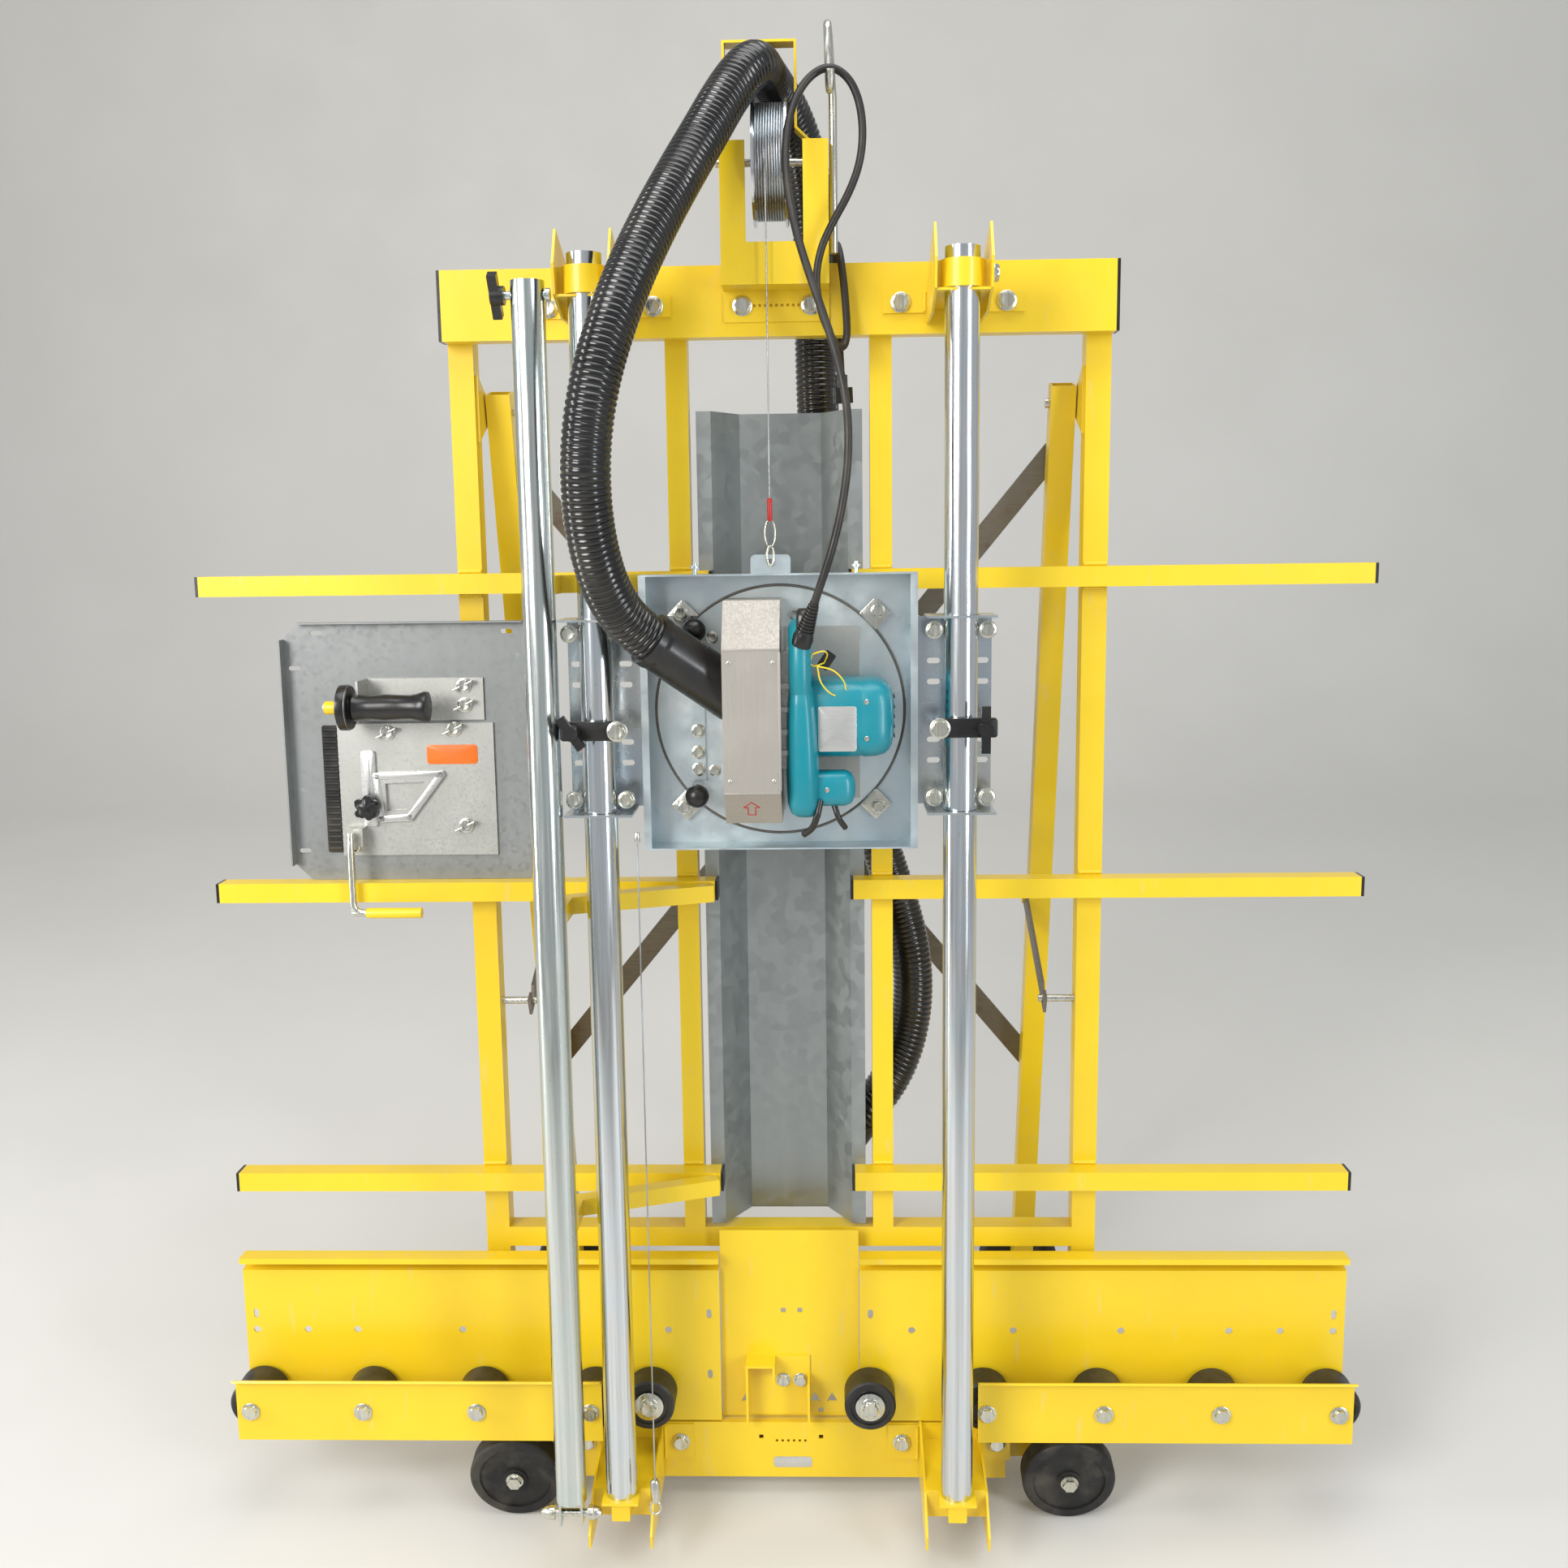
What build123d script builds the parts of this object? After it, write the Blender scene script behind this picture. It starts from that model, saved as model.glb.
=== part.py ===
"""Panel saw: a leaning frame with guide tubes, a sliding saw carriage, rollers, wheels and a folding stand.

Millimetres. +Z is up, the operator stands on the -Y side and the frame leans back towards +Y.
Most pieces are placed in machine directions: across (X), up the slope (U) and outward to the operator (N).
U is counted from near the floor, and N from the front face of the cross bars.
"""
import math
import os

from build123d import *

os.makedirs("parts", exist_ok=True)

# ---------------------------------------------------------------- driving sizes
LEAN = 11.0                 # degrees the frame leans back from upright
SPAN = 1524.0               # length of the base and of each row of cross bars
LEVEL_FIRST = 455.0         # height up the slope of the lowest cross bars
LEVEL_STEP = 408.0          # from one level of cross bars to the next
BAR_HIGH = 26.0
BAR_DEEP = 30.0
BAR_WALL = 2.0
BAR_INNER = 88.0            # inner end of each cross bar from the centre
CAP_THICK = 4.0

UPRIGHT_OUT = 424.0         # outer face of the outer uprights
UPRIGHT_WIDE = 32.0
UPRIGHT_DEEP = 32.0
UPRIGHT_WALL = 2.5
INNER_UPRIGHT = 131.0       # centre of the inner uprights
INNER_WIDE = 28.0
UPRIGHT_FOOT = 31.0
UPRIGHT_TOP = 1655.0
LOWER_RAIL = (348.0, 376.0)
BEAM = (1575.0, 1662.0)     # the top beam, low and high edge
BEAM_WALL = 3.0

PANEL_LOW = 106.0           # base panels
PANEL_HIGH = 348.0
PANEL_INNER = 97.0
SHEET = 3.0                 # folded yellow sheet
CHANNEL = (17.0, 100.0)     # bottom channel, low and high edge
CHANNEL_HALF = 300.0

TUBE_R = 20.65              # guide tubes
TUBE_WALL = 2.0
TUBE_X = 221.0
TUBE_N = 130.0
TUBE_LOW = 78.0
TUBE_HIGH = 1655.0
HOLD_X = -285.0             # hold-down tube
HOLD_N = 150.0
HOLD_R = 20.0
HOLD_LOW = 82.0
HOLD_HIGH = 1622.0
HOLD_PIVOT_U = 62.0
ARM_SIZE = 22.0
ARM_TURN = 20.0             # degrees each arm turns from across towards outward
ARM_LONG = 222.0
ARM_MIDDLE = (-200.0, 47.0)
CRADLE = (-304.0, -268.0)   # block at the arm's end that the hold-down tube rests in
CRADLE_FRONT = 134.0
WIRE_X = -174.0

ROLLER_R = 35.0
ROLLER_LONG = 44.0
ROLLER_BACK = 4.0
ROLLER_U = 152.0
ROLLER_BOLT_R = 5.0
ROLLER_XS = [-738.0, -583.0, -427.0, -271.0, -193.0, 110.0, 267.0, 424.0, 581.0, 738.0]
GUARD_N = 61.0              # back of the roller guards
GUARD_SHEET = 3.0
GUARD_LOW = 113.0
GUARD_HIGH = 196.0
GUARD_ENDS = (255.0, 757.0)

WHEEL_R = 63.5
WHEEL_WIDE = 32.0
WHEEL_X = 382.0
WHEEL_U = 44.0
WHEEL_N = 30.0
AXLE_R = 6.0
FIT = 0.05                  # radial clearance of a running fit
GAP = 0.4                   # clearance between moving neighbours

TROUGH = (382.0, 1487.0)
TROUGH_SHEET = 1.5
TROUGH_FLANGE = 107.0
TROUGH_RIDGE = 88.0
TROUGH_FLOOR = 54.0
TROUGH_DEEP = 54.0
PORT_BOX = (395.0, 495.0)
PORT_R = 25.0
PORT_FROM = (40, 413, -117.5)
PORT_TO = (80, 473, -117.5)
VACUUM_LONG = 40.0

DRUM_U = 1784.0
DRUM_N = -6.0
DRUM_R = 76.0
DRUM_ROPE_R = 66.2
CABLE_R = 0.8
CABLE_X = -10.0
BRACKET_HALF = 66.0
BRACKET_N = 50.0
BRACKET_TOP = 1798.0

CARRIAGE_U = 1110.0         # middle of the carriage
PAN_HALF = 171.0
PAN_BACK = 60.0
PAN_FRONT = 105.0
PAN_SHEET = 2.0
PAN_HOLE_R = 132.0
TABLE_R = 157.0
TABLE_THICK = 3.0
TABLE_TOP = PAN_BACK + PAN_SHEET + GAP + TABLE_THICK
SIDE_HALF = 120.0           # half height of the side brackets
SIDE_WIDE = 41.5
SIDE_N = 85.0
FLANGE_FRONT = 158.0
BEARING_R = 11.0
BEARING_WIDE = 7.0
LOCK_X = 247.0
PIN_X = -104.0
PIN_OFF = 103.0
PIN_R = 4.0
PIN_TIP = 62.6
PIN_BALL_N = 102.0
CLIP_AT = 120.0             # corner clips that hold the turntable down

BLADE_X = -30.0
BLADE_R = 92.0
BLADE_THICK = 2.0
BLADE_N = 89.0
ARBOR_R = 8.0
SAW_MIDDLE = CARRIAGE_U + 7
SAW_HALF_HIGH = 134.0
GUARD_X = (-64.0, 4.0)
GUARD_FRONT = 200.0
GUARD_WALL = 1.6
MOTOR_R = 46.0
MOTOR_N = 122.0

LEG_X = 370.0
LEG_WIDE = 32.0
LEG_HINGE_U = 1495.0
LEG_HINGE_N = -85.0
LEG_SPREAD = 13.0           # degrees between the frame and the rear legs
LEG_LONG = 1395.0
HINGE_PIN_R = 6.0
STAY_PIN_R = 5.0
STAY_DROP = 723.0           # down the leg from its hinge to the stay's pin
STAY_UPRIGHT = (700.0, -46.0)
STAY_THICK = 4.0
STAY_WIDE = 26.0
STAY_NOTCH_TURN = -34.7     # degrees the open slot of the stay's hook turns from square across the stay
STAY_SLOT = 12.4
BRACE_WIDE = 30.0
BRACE_THICK = 4.0
BRACE_DROPS = (60.0, 1010.0)  # down the legs to the upper and lower brace ends

HOSE_R = 27.5
HOSE_START = (-140, 1201, 180)
CUFF_START = (-74, 1150, 140)
CORD_R = 4.75

INSERT_X = (-660.0, -317.0)
INSERT_HIGH = 346.0
INSERT_BACK = -26.0
INSERT_SHEET = 2.0

# ---------------------------------------------------------------- directions
TILT = math.radians(LEAN)
FRONT_AXLE_RISE = WHEEL_U * math.cos(TILT) + WHEEL_N * math.sin(TILT)
DEPTH_SHIFT = -164.2        # sets the origin midway between the front and the back of the machine
ACROSS = Vector(1, 0, 0)
UP_SLOPE = Vector(0, math.sin(TILT), math.cos(TILT))
OUTWARD = Vector(0, -math.cos(TILT), math.sin(TILT))
ZERO = Vector(0, DEPTH_SHIFT, WHEEL_R - FRONT_AXLE_RISE)
MACHINE = Plane(origin=ZERO, x_dir=ACROSS, z_dir=OUTWARD)

LEVELS = [LEVEL_FIRST + step * LEVEL_STEP for step in range(3)]
HALF = SPAN / 2
LEG_TILT = math.radians(LEG_SPREAD)
ALONG = {"x": (0, 90, 0), "u": (90, 0, 0), "n": (0, 0, 0)}


def spot(x, u, n):
    """A point given across, up the slope and outward."""
    return ZERO + ACROSS * x + UP_SLOPE * u + OUTWARD * n


def front(n):
    """Plane facing the operator; its sketch is (across, up the slope)."""
    return Plane(origin=spot(0, 0, n), x_dir=ACROSS, z_dir=OUTWARD)


def side(x):
    """Plane facing +X; its sketch is (up the slope, outward)."""
    return Plane(origin=spot(x, 0, 0), x_dir=UP_SLOPE, z_dir=ACROSS)


def down(u):
    """Plane facing down the slope; its sketch is (across, outward)."""
    return Plane(origin=spot(0, u, 0), x_dir=ACROSS, z_dir=UP_SLOPE * -1)


def leg_spot(x, drop, back=0.0):
    """A point on the rear stand: down the leg from its hinge, and behind its middle line."""
    u = LEG_HINGE_U - drop * math.cos(LEG_TILT) + back * math.sin(LEG_TILT)
    n = LEG_HINGE_N - drop * math.sin(LEG_TILT) - back * math.cos(LEG_TILT)
    return spot(x, u, n)


def block(x, u, n, mode=Mode.ADD):
    """A box between its low and high limits across, up the slope and outward."""
    with Locations(((x[0] + x[1]) / 2, (u[0] + u[1]) / 2, (n[0] + n[1]) / 2)):
        Box(x[1] - x[0], u[1] - u[0], n[1] - n[0], mode=mode)


def box_tube(x, u, n, wall, along):
    """A rectangular tube, open at both ends of its length."""
    block(x, u, n)
    inner = {"x": x, "u": u, "n": n}
    for name, limits in inner.items():
        grow = 1.0 if name == along else -wall
        inner[name] = (limits[0] - grow, limits[1] + grow)
    block(inner["x"], inner["u"], inner["n"], Mode.SUBTRACT)


def rod(x, u, n, radius, length, along="n", mode=Mode.ADD):
    """A round bar centred on a point, running across, up the slope or outward."""
    with Locations((x, u, n)):
        Cylinder(radius, length, rotation=ALONG[along], mode=mode)


def round_tube(x, u, n, radius, wall):
    """A round tube between two heights up the slope."""
    rod(x, (u[0] + u[1]) / 2, n, radius, u[1] - u[0], "u")
    rod(x, (u[0] + u[1]) / 2, n, radius - wall, u[1] - u[0] + 2, "u", Mode.SUBTRACT)


def folded(points, thickness):
    """Outline of a sheet folded along a line of points, its thickness on the left of the line."""
    normals = []
    for (ax, ay), (bx, by) in zip(points, points[1:]):
        length = math.hypot(bx - ax, by - ay)
        normals.append(((ay - by) / length, (bx - ax) / length))
    sides = [normals[0]]
    for (ax, ay), (bx, by) in zip(normals, normals[1:]):
        scale = 1 + ax * bx + ay * by
        sides.append(((ax + bx) / scale, (ay + by) / scale))
    sides.append(normals[-1])
    far = [(x + thickness * sx, y + thickness * sy) for (x, y), (sx, sy) in zip(points, sides)]
    return list(points) + far[::-1]


def slab(plane, points, amount, mode=Mode.ADD):
    """A straight-sided outline on a plane, extruded along the plane's normal."""
    with BuildSketch(plane) as outline:
        with BuildLine():
            Polyline(*points, close=True)
        make_face()
    extrude(outline.sketch, amount=amount, mode=mode)


def hex_bolts(plane, points, radius, shank=0.0):
    """Washer and hexagon head on a plane at each point, with a shank behind them."""
    washer = 0.35 * radius
    with BuildSketch(plane) as washers:
        with Locations(*points):
            Circle(2.1 * radius)
    extrude(washers.sketch, amount=washer)
    with BuildSketch(plane.offset(washer)) as heads:
        with Locations(*points):
            RegularPolygon(1.75 * radius, 6)
    extrude(heads.sketch, amount=1.1 * radius)
    if shank:
        with BuildSketch(plane) as shanks:
            with Locations(*points):
                Circle(radius)
        extrude(shanks.sketch, amount=-shank)


def save(builder, name):
    """Label a finished piece and write its STEP file."""
    builder.part.label = name
    export_step(builder.part, f"parts/{name}.step")


# ---------------------------------------------------------------- frame
def make_frame():
    with BuildPart(MACHINE) as top_beam:
        box_tube((-UPRIGHT_OUT, UPRIGHT_OUT), BEAM, (-BAR_DEEP, 0), BEAM_WALL, "x")
    save(top_beam, "top_beam")

    upright_n = (-BAR_DEEP - UPRIGHT_DEEP, -BAR_DEEP)
    with BuildPart(MACHINE) as back_frame:
        for hand in (-1, 1):
            outer = sorted((hand * UPRIGHT_OUT, hand * (UPRIGHT_OUT - UPRIGHT_WIDE)))
            box_tube(outer, (UPRIGHT_FOOT, UPRIGHT_TOP), upright_n, UPRIGHT_WALL, "u")
            middle = hand * INNER_UPRIGHT
            inner = (middle - INNER_WIDE / 2, middle + INNER_WIDE / 2)
            box_tube(inner, (LOWER_RAIL[1], UPRIGHT_TOP), upright_n, UPRIGHT_WALL, "u")
            hinge_ear = [(LEG_HINGE_U - 42, -35), (LEG_HINGE_U - 12, LEG_HINGE_N - 16),
                         (LEG_HINGE_U + 12, LEG_HINGE_N - 16), (LEG_HINGE_U + 42, -35)]
            ear_x = UPRIGHT_OUT - UPRIGHT_WIDE - 4 if hand > 0 else UPRIGHT_WIDE - UPRIGHT_OUT
            slab(side(ear_x), hinge_ear, 4)
            rod(ear_x + 2, LEG_HINGE_U, LEG_HINGE_N, HINGE_PIN_R, 6, "x", Mode.SUBTRACT)
        rail_half = UPRIGHT_OUT - UPRIGHT_WIDE
        box_tube((-rail_half, rail_half), LOWER_RAIL, upright_n, UPRIGHT_WALL, "x")
    save(back_frame, "back_frame")

    with BuildPart(MACHINE) as cross_bars:
        for level in LEVELS:
            for hand in (-1, 1):
                reach = sorted((hand * (HALF - CAP_THICK), hand * (BAR_INNER + CAP_THICK)))
                height = (level - BAR_HIGH / 2, level + BAR_HIGH / 2)
                box_tube(reach, height, (-BAR_DEEP, 0), BAR_WALL, "x")
    save(cross_bars, "cross_bars")

    with BuildPart(MACHINE) as end_caps:
        for level in LEVELS:
            for hand in (-1, 1):
                for end in (HALF - CAP_THICK, BAR_INNER):
                    reach = sorted((hand * end, hand * (end + CAP_THICK)))
                    block(reach, (level - BAR_HIGH / 2, level + BAR_HIGH / 2), (-BAR_DEEP, 0))
        for hand in (-1, 1):
            reach = sorted((hand * UPRIGHT_OUT, hand * (UPRIGHT_OUT + CAP_THICK)))
            block(reach, BEAM, (-BAR_DEEP, 0))
            middle = hand * INNER_UPRIGHT
            top = (UPRIGHT_TOP, UPRIGHT_TOP + CAP_THICK)
            block((middle - INNER_WIDE / 2, middle + INNER_WIDE / 2), top, upright_n)
    save(end_caps, "end_caps")

    panel_line = [(PANEL_LOW, -SHEET - 16), (PANEL_LOW, -SHEET), (PANEL_HIGH - 24, -SHEET),
                  (PANEL_HIGH - 21, -SHEET - 12), (PANEL_HIGH, -SHEET - 12),
                  (PANEL_HIGH, SHEET + 8), (PANEL_HIGH - 8, SHEET + 8)]
    holes = [112, 182, 252, 400, 548, 618, 690]
    with BuildPart(MACHINE) as base_panels:
        for hand in (-1, 1):
            start = PANEL_INNER if hand > 0 else -HALF
            slab(side(start), folded(panel_line, SHEET), HALF - PANEL_INNER)
        with BuildSketch(front(-SHEET - 1)) as panel_holes:
            for hand in (-1, 1):
                with Locations(*[(hand * (PANEL_INNER - 40 + x), 238) for x in holes]):
                    Circle(5)
                with Locations((hand * (HALF - 15), 262), (hand * (PANEL_INNER + 15), 262),
                               (hand * (PANEL_INNER + 15), 172)):
                    SlotOverall(14, 7, rotation=90)
                with Locations(*[(x, ROLLER_U) for x in ROLLER_XS]):
                    Circle(ROLLER_BOLT_R + FIT)
        extrude(panel_holes.sketch, amount=SHEET + 2, mode=Mode.SUBTRACT)
    save(base_panels, "base_panels")

    with BuildPart(MACHINE) as centre_plate:
        block((-PANEL_INNER + 1, PANEL_INNER - 1), (CHANNEL[1] + 4, 380), (-14, -11))
        with BuildSketch(front(-15)) as plate_holes:
            with Locations((-9, 262), (14, 262), (-38, 98 + 14), (42, 98 + 14)):
                Rectangle(7, 7)
            with Locations(*[(-62 + 24 * step, 130) for step in range(6)]):
                Triangle(a=16, b=16, c=16)
        extrude(plate_holes.sketch, amount=5, mode=Mode.SUBTRACT)
        stop_wall = (-11, 22)
        block((-61, 27), (108, 196), (-11, -8))
        block((-61, -58), (108, 196), (-8, stop_wall[1]))
        block((24, 27), (108, 170), (-8, stop_wall[1]))
        block((-24, -21), (170, 196), (-8, stop_wall[1]))
        block((-58, -24), (193, 196), (-8, stop_wall[1]))
        hex_bolts(front(-8), [(-10, 160), (14, 160)], 4)
    save(centre_plate, "centre_plate")

    with BuildPart(MACHINE) as bottom_channel:
        slab(side(-CHANNEL_HALF), folded([(CHANNEL[1], -BAR_DEEP + 4), (CHANNEL[1], 0),
                                          (CHANNEL[0], 0), (CHANNEL[0], -22)], SHEET), 2 * CHANNEL_HALF)
        block((-UPRIGHT_OUT, UPRIGHT_OUT), (CHANNEL[0] + 16, CHANNEL[1] - 8), (-BAR_DEEP, -BAR_DEEP + 3))
        block((-UPRIGHT_OUT, UPRIGHT_OUT), (CHANNEL[1] - 11, CHANNEL[1] - 8), (-BAR_DEEP + 3, -5))
        for hand in (-1, 1):
            for x in (CHANNEL_HALF + 40, UPRIGHT_OUT - 26):
                rib = sorted((hand * x, hand * (x + 3)))
                block(rib, (CHANNEL[0] + 16, CHANNEL[1] - 11), (-BAR_DEEP + 3, -5))
        with BuildSketch(front(-SHEET - 1)) as slots:
            with Locations(*[(-20 + 8 * step, 72) for step in range(6)]):
                Circle(2)
            with Locations((-42, 78), (42, 78)):
                Rectangle(6, 6)
        extrude(slots.sketch, amount=SHEET + 2, mode=Mode.SUBTRACT)
    save(bottom_channel, "bottom_channel")

    guard_line = [(GUARD_LOW, GUARD_N - 12), (GUARD_LOW, GUARD_N), (GUARD_HIGH, GUARD_N),
                  (GUARD_HIGH + 8, GUARD_N + 16)]
    with BuildPart(MACHINE) as roller_guards:
        for hand in (-1, 1):
            start = GUARD_ENDS[0] if hand > 0 else -GUARD_ENDS[1]
            slab(side(start), folded(guard_line, GUARD_SHEET), GUARD_ENDS[1] - GUARD_ENDS[0])
        with BuildSketch(front(GUARD_N - 1)) as guard_holes:
            with Locations(*[(x, ROLLER_U) for x in ROLLER_XS if abs(x) > GUARD_ENDS[0]]):
                Circle(ROLLER_BOLT_R + FIT)
        extrude(guard_holes.sketch, amount=GUARD_SHEET + 2, mode=Mode.SUBTRACT)
    save(roller_guards, "roller_guards")

    with BuildPart(MACHINE) as dust_trough:
        trough_line = [(-TROUGH_FLANGE, -BAR_DEEP - 14), (-TROUGH_FLANGE, -BAR_DEEP),
                       (-TROUGH_RIDGE, -BAR_DEEP), (-TROUGH_FLOOR, -BAR_DEEP - TROUGH_DEEP),
                       (TROUGH_FLOOR, -BAR_DEEP - TROUGH_DEEP), (TROUGH_RIDGE, -BAR_DEEP),
                       (TROUGH_FLANGE, -BAR_DEEP), (TROUGH_FLANGE, -BAR_DEEP - 14)]
        slab(down(TROUGH[1]), folded(trough_line, -TROUGH_SHEET), TROUGH[1] - TROUGH[0])
        back = -BAR_DEEP - TROUGH_DEEP - TROUGH_SHEET
        block((-45, 45), PORT_BOX, (back - 64, back))
        block((-43, 43), (PORT_BOX[0] + 2, PORT_BOX[1] - 2), (back - 62, back), Mode.SUBTRACT)
        stub_from = spot(*PORT_FROM)
        stub_aim = spot(*PORT_TO) - stub_from
        with BuildSketch(Plane(origin=stub_from, z_dir=stub_aim)) as stub:
            Circle(PORT_R)
        extrude(stub.sketch, amount=stub_aim.length)
        with BuildSketch(Plane(origin=stub_from, z_dir=stub_aim)) as stub_bore:
            Circle(PORT_R - 2)
        extrude(stub_bore.sketch, amount=stub_aim.length + 1, mode=Mode.SUBTRACT)
        rod(0, 445, back - 63 - VACUUM_LONG / 2, PORT_R, VACUUM_LONG)
        rod(0, 445, back - 63 - VACUUM_LONG / 2, PORT_R - 2, VACUUM_LONG + 6, "n", Mode.SUBTRACT)
    save(dust_trough, "dust_trough")


def make_tubes():
    with BuildPart(MACHINE) as guide_tubes:
        for hand in (-1, 1):
            round_tube(hand * TUBE_X, (TUBE_LOW, TUBE_HIGH), TUBE_N, TUBE_R, TUBE_WALL)
    save(guide_tubes, "guide_tubes")

    with BuildPart(MACHINE) as tube_top_brackets:
        for hand in (-1, 1):
            middle = hand * TUBE_X
            block((middle - 88, middle + 88), (1600, 1626), (0, 3))
            for edge in (middle - 34, middle + 31):
                ear = [(1586, 3), (1586, TUBE_N - 30), (1606, TUBE_N + 24), (1640, TUBE_N + 30),
                       (1682, TUBE_N + 6), (1640, 30), (1626, 3)]
                slab(side(edge), ear, 3)
            block((middle - 31, middle + 31), (1604, 1607), (3, TUBE_N + 20))
            rod(middle, 1605, TUBE_N, TUBE_R + 0.3, 10, "u", Mode.SUBTRACT)
            block((middle - 31, middle - TUBE_R - 2), (1607, 1640), (TUBE_N - 2, TUBE_N + 2))
            block((middle + TUBE_R + 2, middle + 31), (1607, 1640), (TUBE_N - 2, TUBE_N + 2))
            rod(middle, 1624, TUBE_N, TUBE_R + 5, 32, "u")
            rod(middle, 1624, TUBE_N, TUBE_R, 40, "u", Mode.SUBTRACT)
            hex_bolts(front(3), [(middle - 66, 1613), (middle + 66, 1613)], 5)
            hex_bolts(side(middle + 34), [(1624, TUBE_N + 6)], 5)
    save(tube_top_brackets, "tube_top_brackets")

    with BuildPart(MACHINE) as tube_bottom_brackets:
        for hand in (-1, 1):
            middle = hand * TUBE_X
            block((middle - 85, middle + 85), (46, 98), (0, 3))
            for edge in (middle - 42, middle + 39):
                ear = [(20, 3), (14, TUBE_N + 26), (34, TUBE_N + 30), (74, TUBE_N - 10), (104, 3)]
                slab(side(edge), ear, 3)
            block((middle - 39, middle + 39), (TUBE_LOW - 4, TUBE_LOW), (3, TUBE_N - 8))
            block((middle - 39, middle + 39), (40, TUBE_LOW), (TUBE_N - 11, TUBE_N - 8))
            block((middle - 12, middle + 12), (TUBE_LOW - 30, TUBE_LOW - 4), (TUBE_N - 8, TUBE_N + 18))
            block((middle - 24, middle + 24), (TUBE_LOW - 4, TUBE_LOW), (TUBE_N - 8, TUBE_N + 25))
            hex_bolts(front(3), [(middle - 66, 72), (middle + 66, 72)], 5)
        rod(HOLD_X + 24, HOLD_PIVOT_U, HOLD_N, ROLLER_BOLT_R, 12, "x", Mode.SUBTRACT)
    save(tube_bottom_brackets, "tube_bottom_brackets")

    with BuildPart(MACHINE) as hold_down_arms:
        for level in LEVELS:
            with Locations(Location((ARM_MIDDLE[0], level, ARM_MIDDLE[1]), (0, ARM_TURN, 0))):
                Box(ARM_LONG, ARM_SIZE, ARM_SIZE)
                Box(ARM_LONG + 2, ARM_SIZE - 4, ARM_SIZE - 4, mode=Mode.SUBTRACT)
            block((-140, -60), (level - 20, level + 20), (-40, 0), Mode.SUBTRACT)
            block(CRADLE, (level - ARM_SIZE / 2, level + ARM_SIZE / 2), (ARM_MIDDLE[1] + 26, CRADLE_FRONT))
            rod(HOLD_X, level, HOLD_N, HOLD_R + GAP, 2 * ARM_SIZE, "u", Mode.SUBTRACT)
    save(hold_down_arms, "hold_down_arms")

    with BuildPart(MACHINE) as hold_down_tube:
        round_tube(HOLD_X, (HOLD_LOW, HOLD_HIGH), HOLD_N, HOLD_R, TUBE_WALL)
        for hand in (-1, 1):
            slab(side(HOLD_X + hand * 14 - 1.5), [(48, HOLD_N - 10), (48, HOLD_N + 10), (130, HOLD_N + 9),
                                                  (130, HOLD_N - 9)], 3)
        rod(HOLD_X, HOLD_PIVOT_U, HOLD_N, ROLLER_BOLT_R + FIT, 60, "x", Mode.SUBTRACT)
        rod(HOLD_X, HOLD_HIGH - 16, HOLD_N, 5 + FIT, 60, "x", Mode.SUBTRACT)
        rod(HOLD_X - 8, HOLD_HIGH - 16, HOLD_N, 5, 62, "x")
        rod(HOLD_X + 24, HOLD_HIGH - 16, HOLD_N, 8, 5, "x")
    save(hold_down_tube, "hold_down_tube")

    with BuildPart(MACHINE) as hold_down_knob:
        rod(HOLD_X - 35, HOLD_HIGH - 16, HOLD_N, 11, 16, "x")
        for turn in (35, 215):
            with Locations(Location((HOLD_X - 38, HOLD_HIGH - 16, HOLD_N), (turn, 0, 0))):
                with Locations((0, 14, 0)):
                    Box(11, 26, 12)
        rod(HOLD_X - 30, HOLD_HIGH - 16, HOLD_N, 5 + FIT, 20, "x", Mode.SUBTRACT)
    save(hold_down_knob, "hold_down_knob")

    with BuildPart(MACHINE) as guide_wire:
        rod(WIRE_X, 535, TUBE_N + 24, 0.9, 860, "u")
        rod(WIRE_X, 94, TUBE_N + 24, 5, 22, "u")
        rod(WIRE_X, 965, TUBE_N + 24, 3, 8, "u")
    save(guide_wire, "guide_wire")


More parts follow.
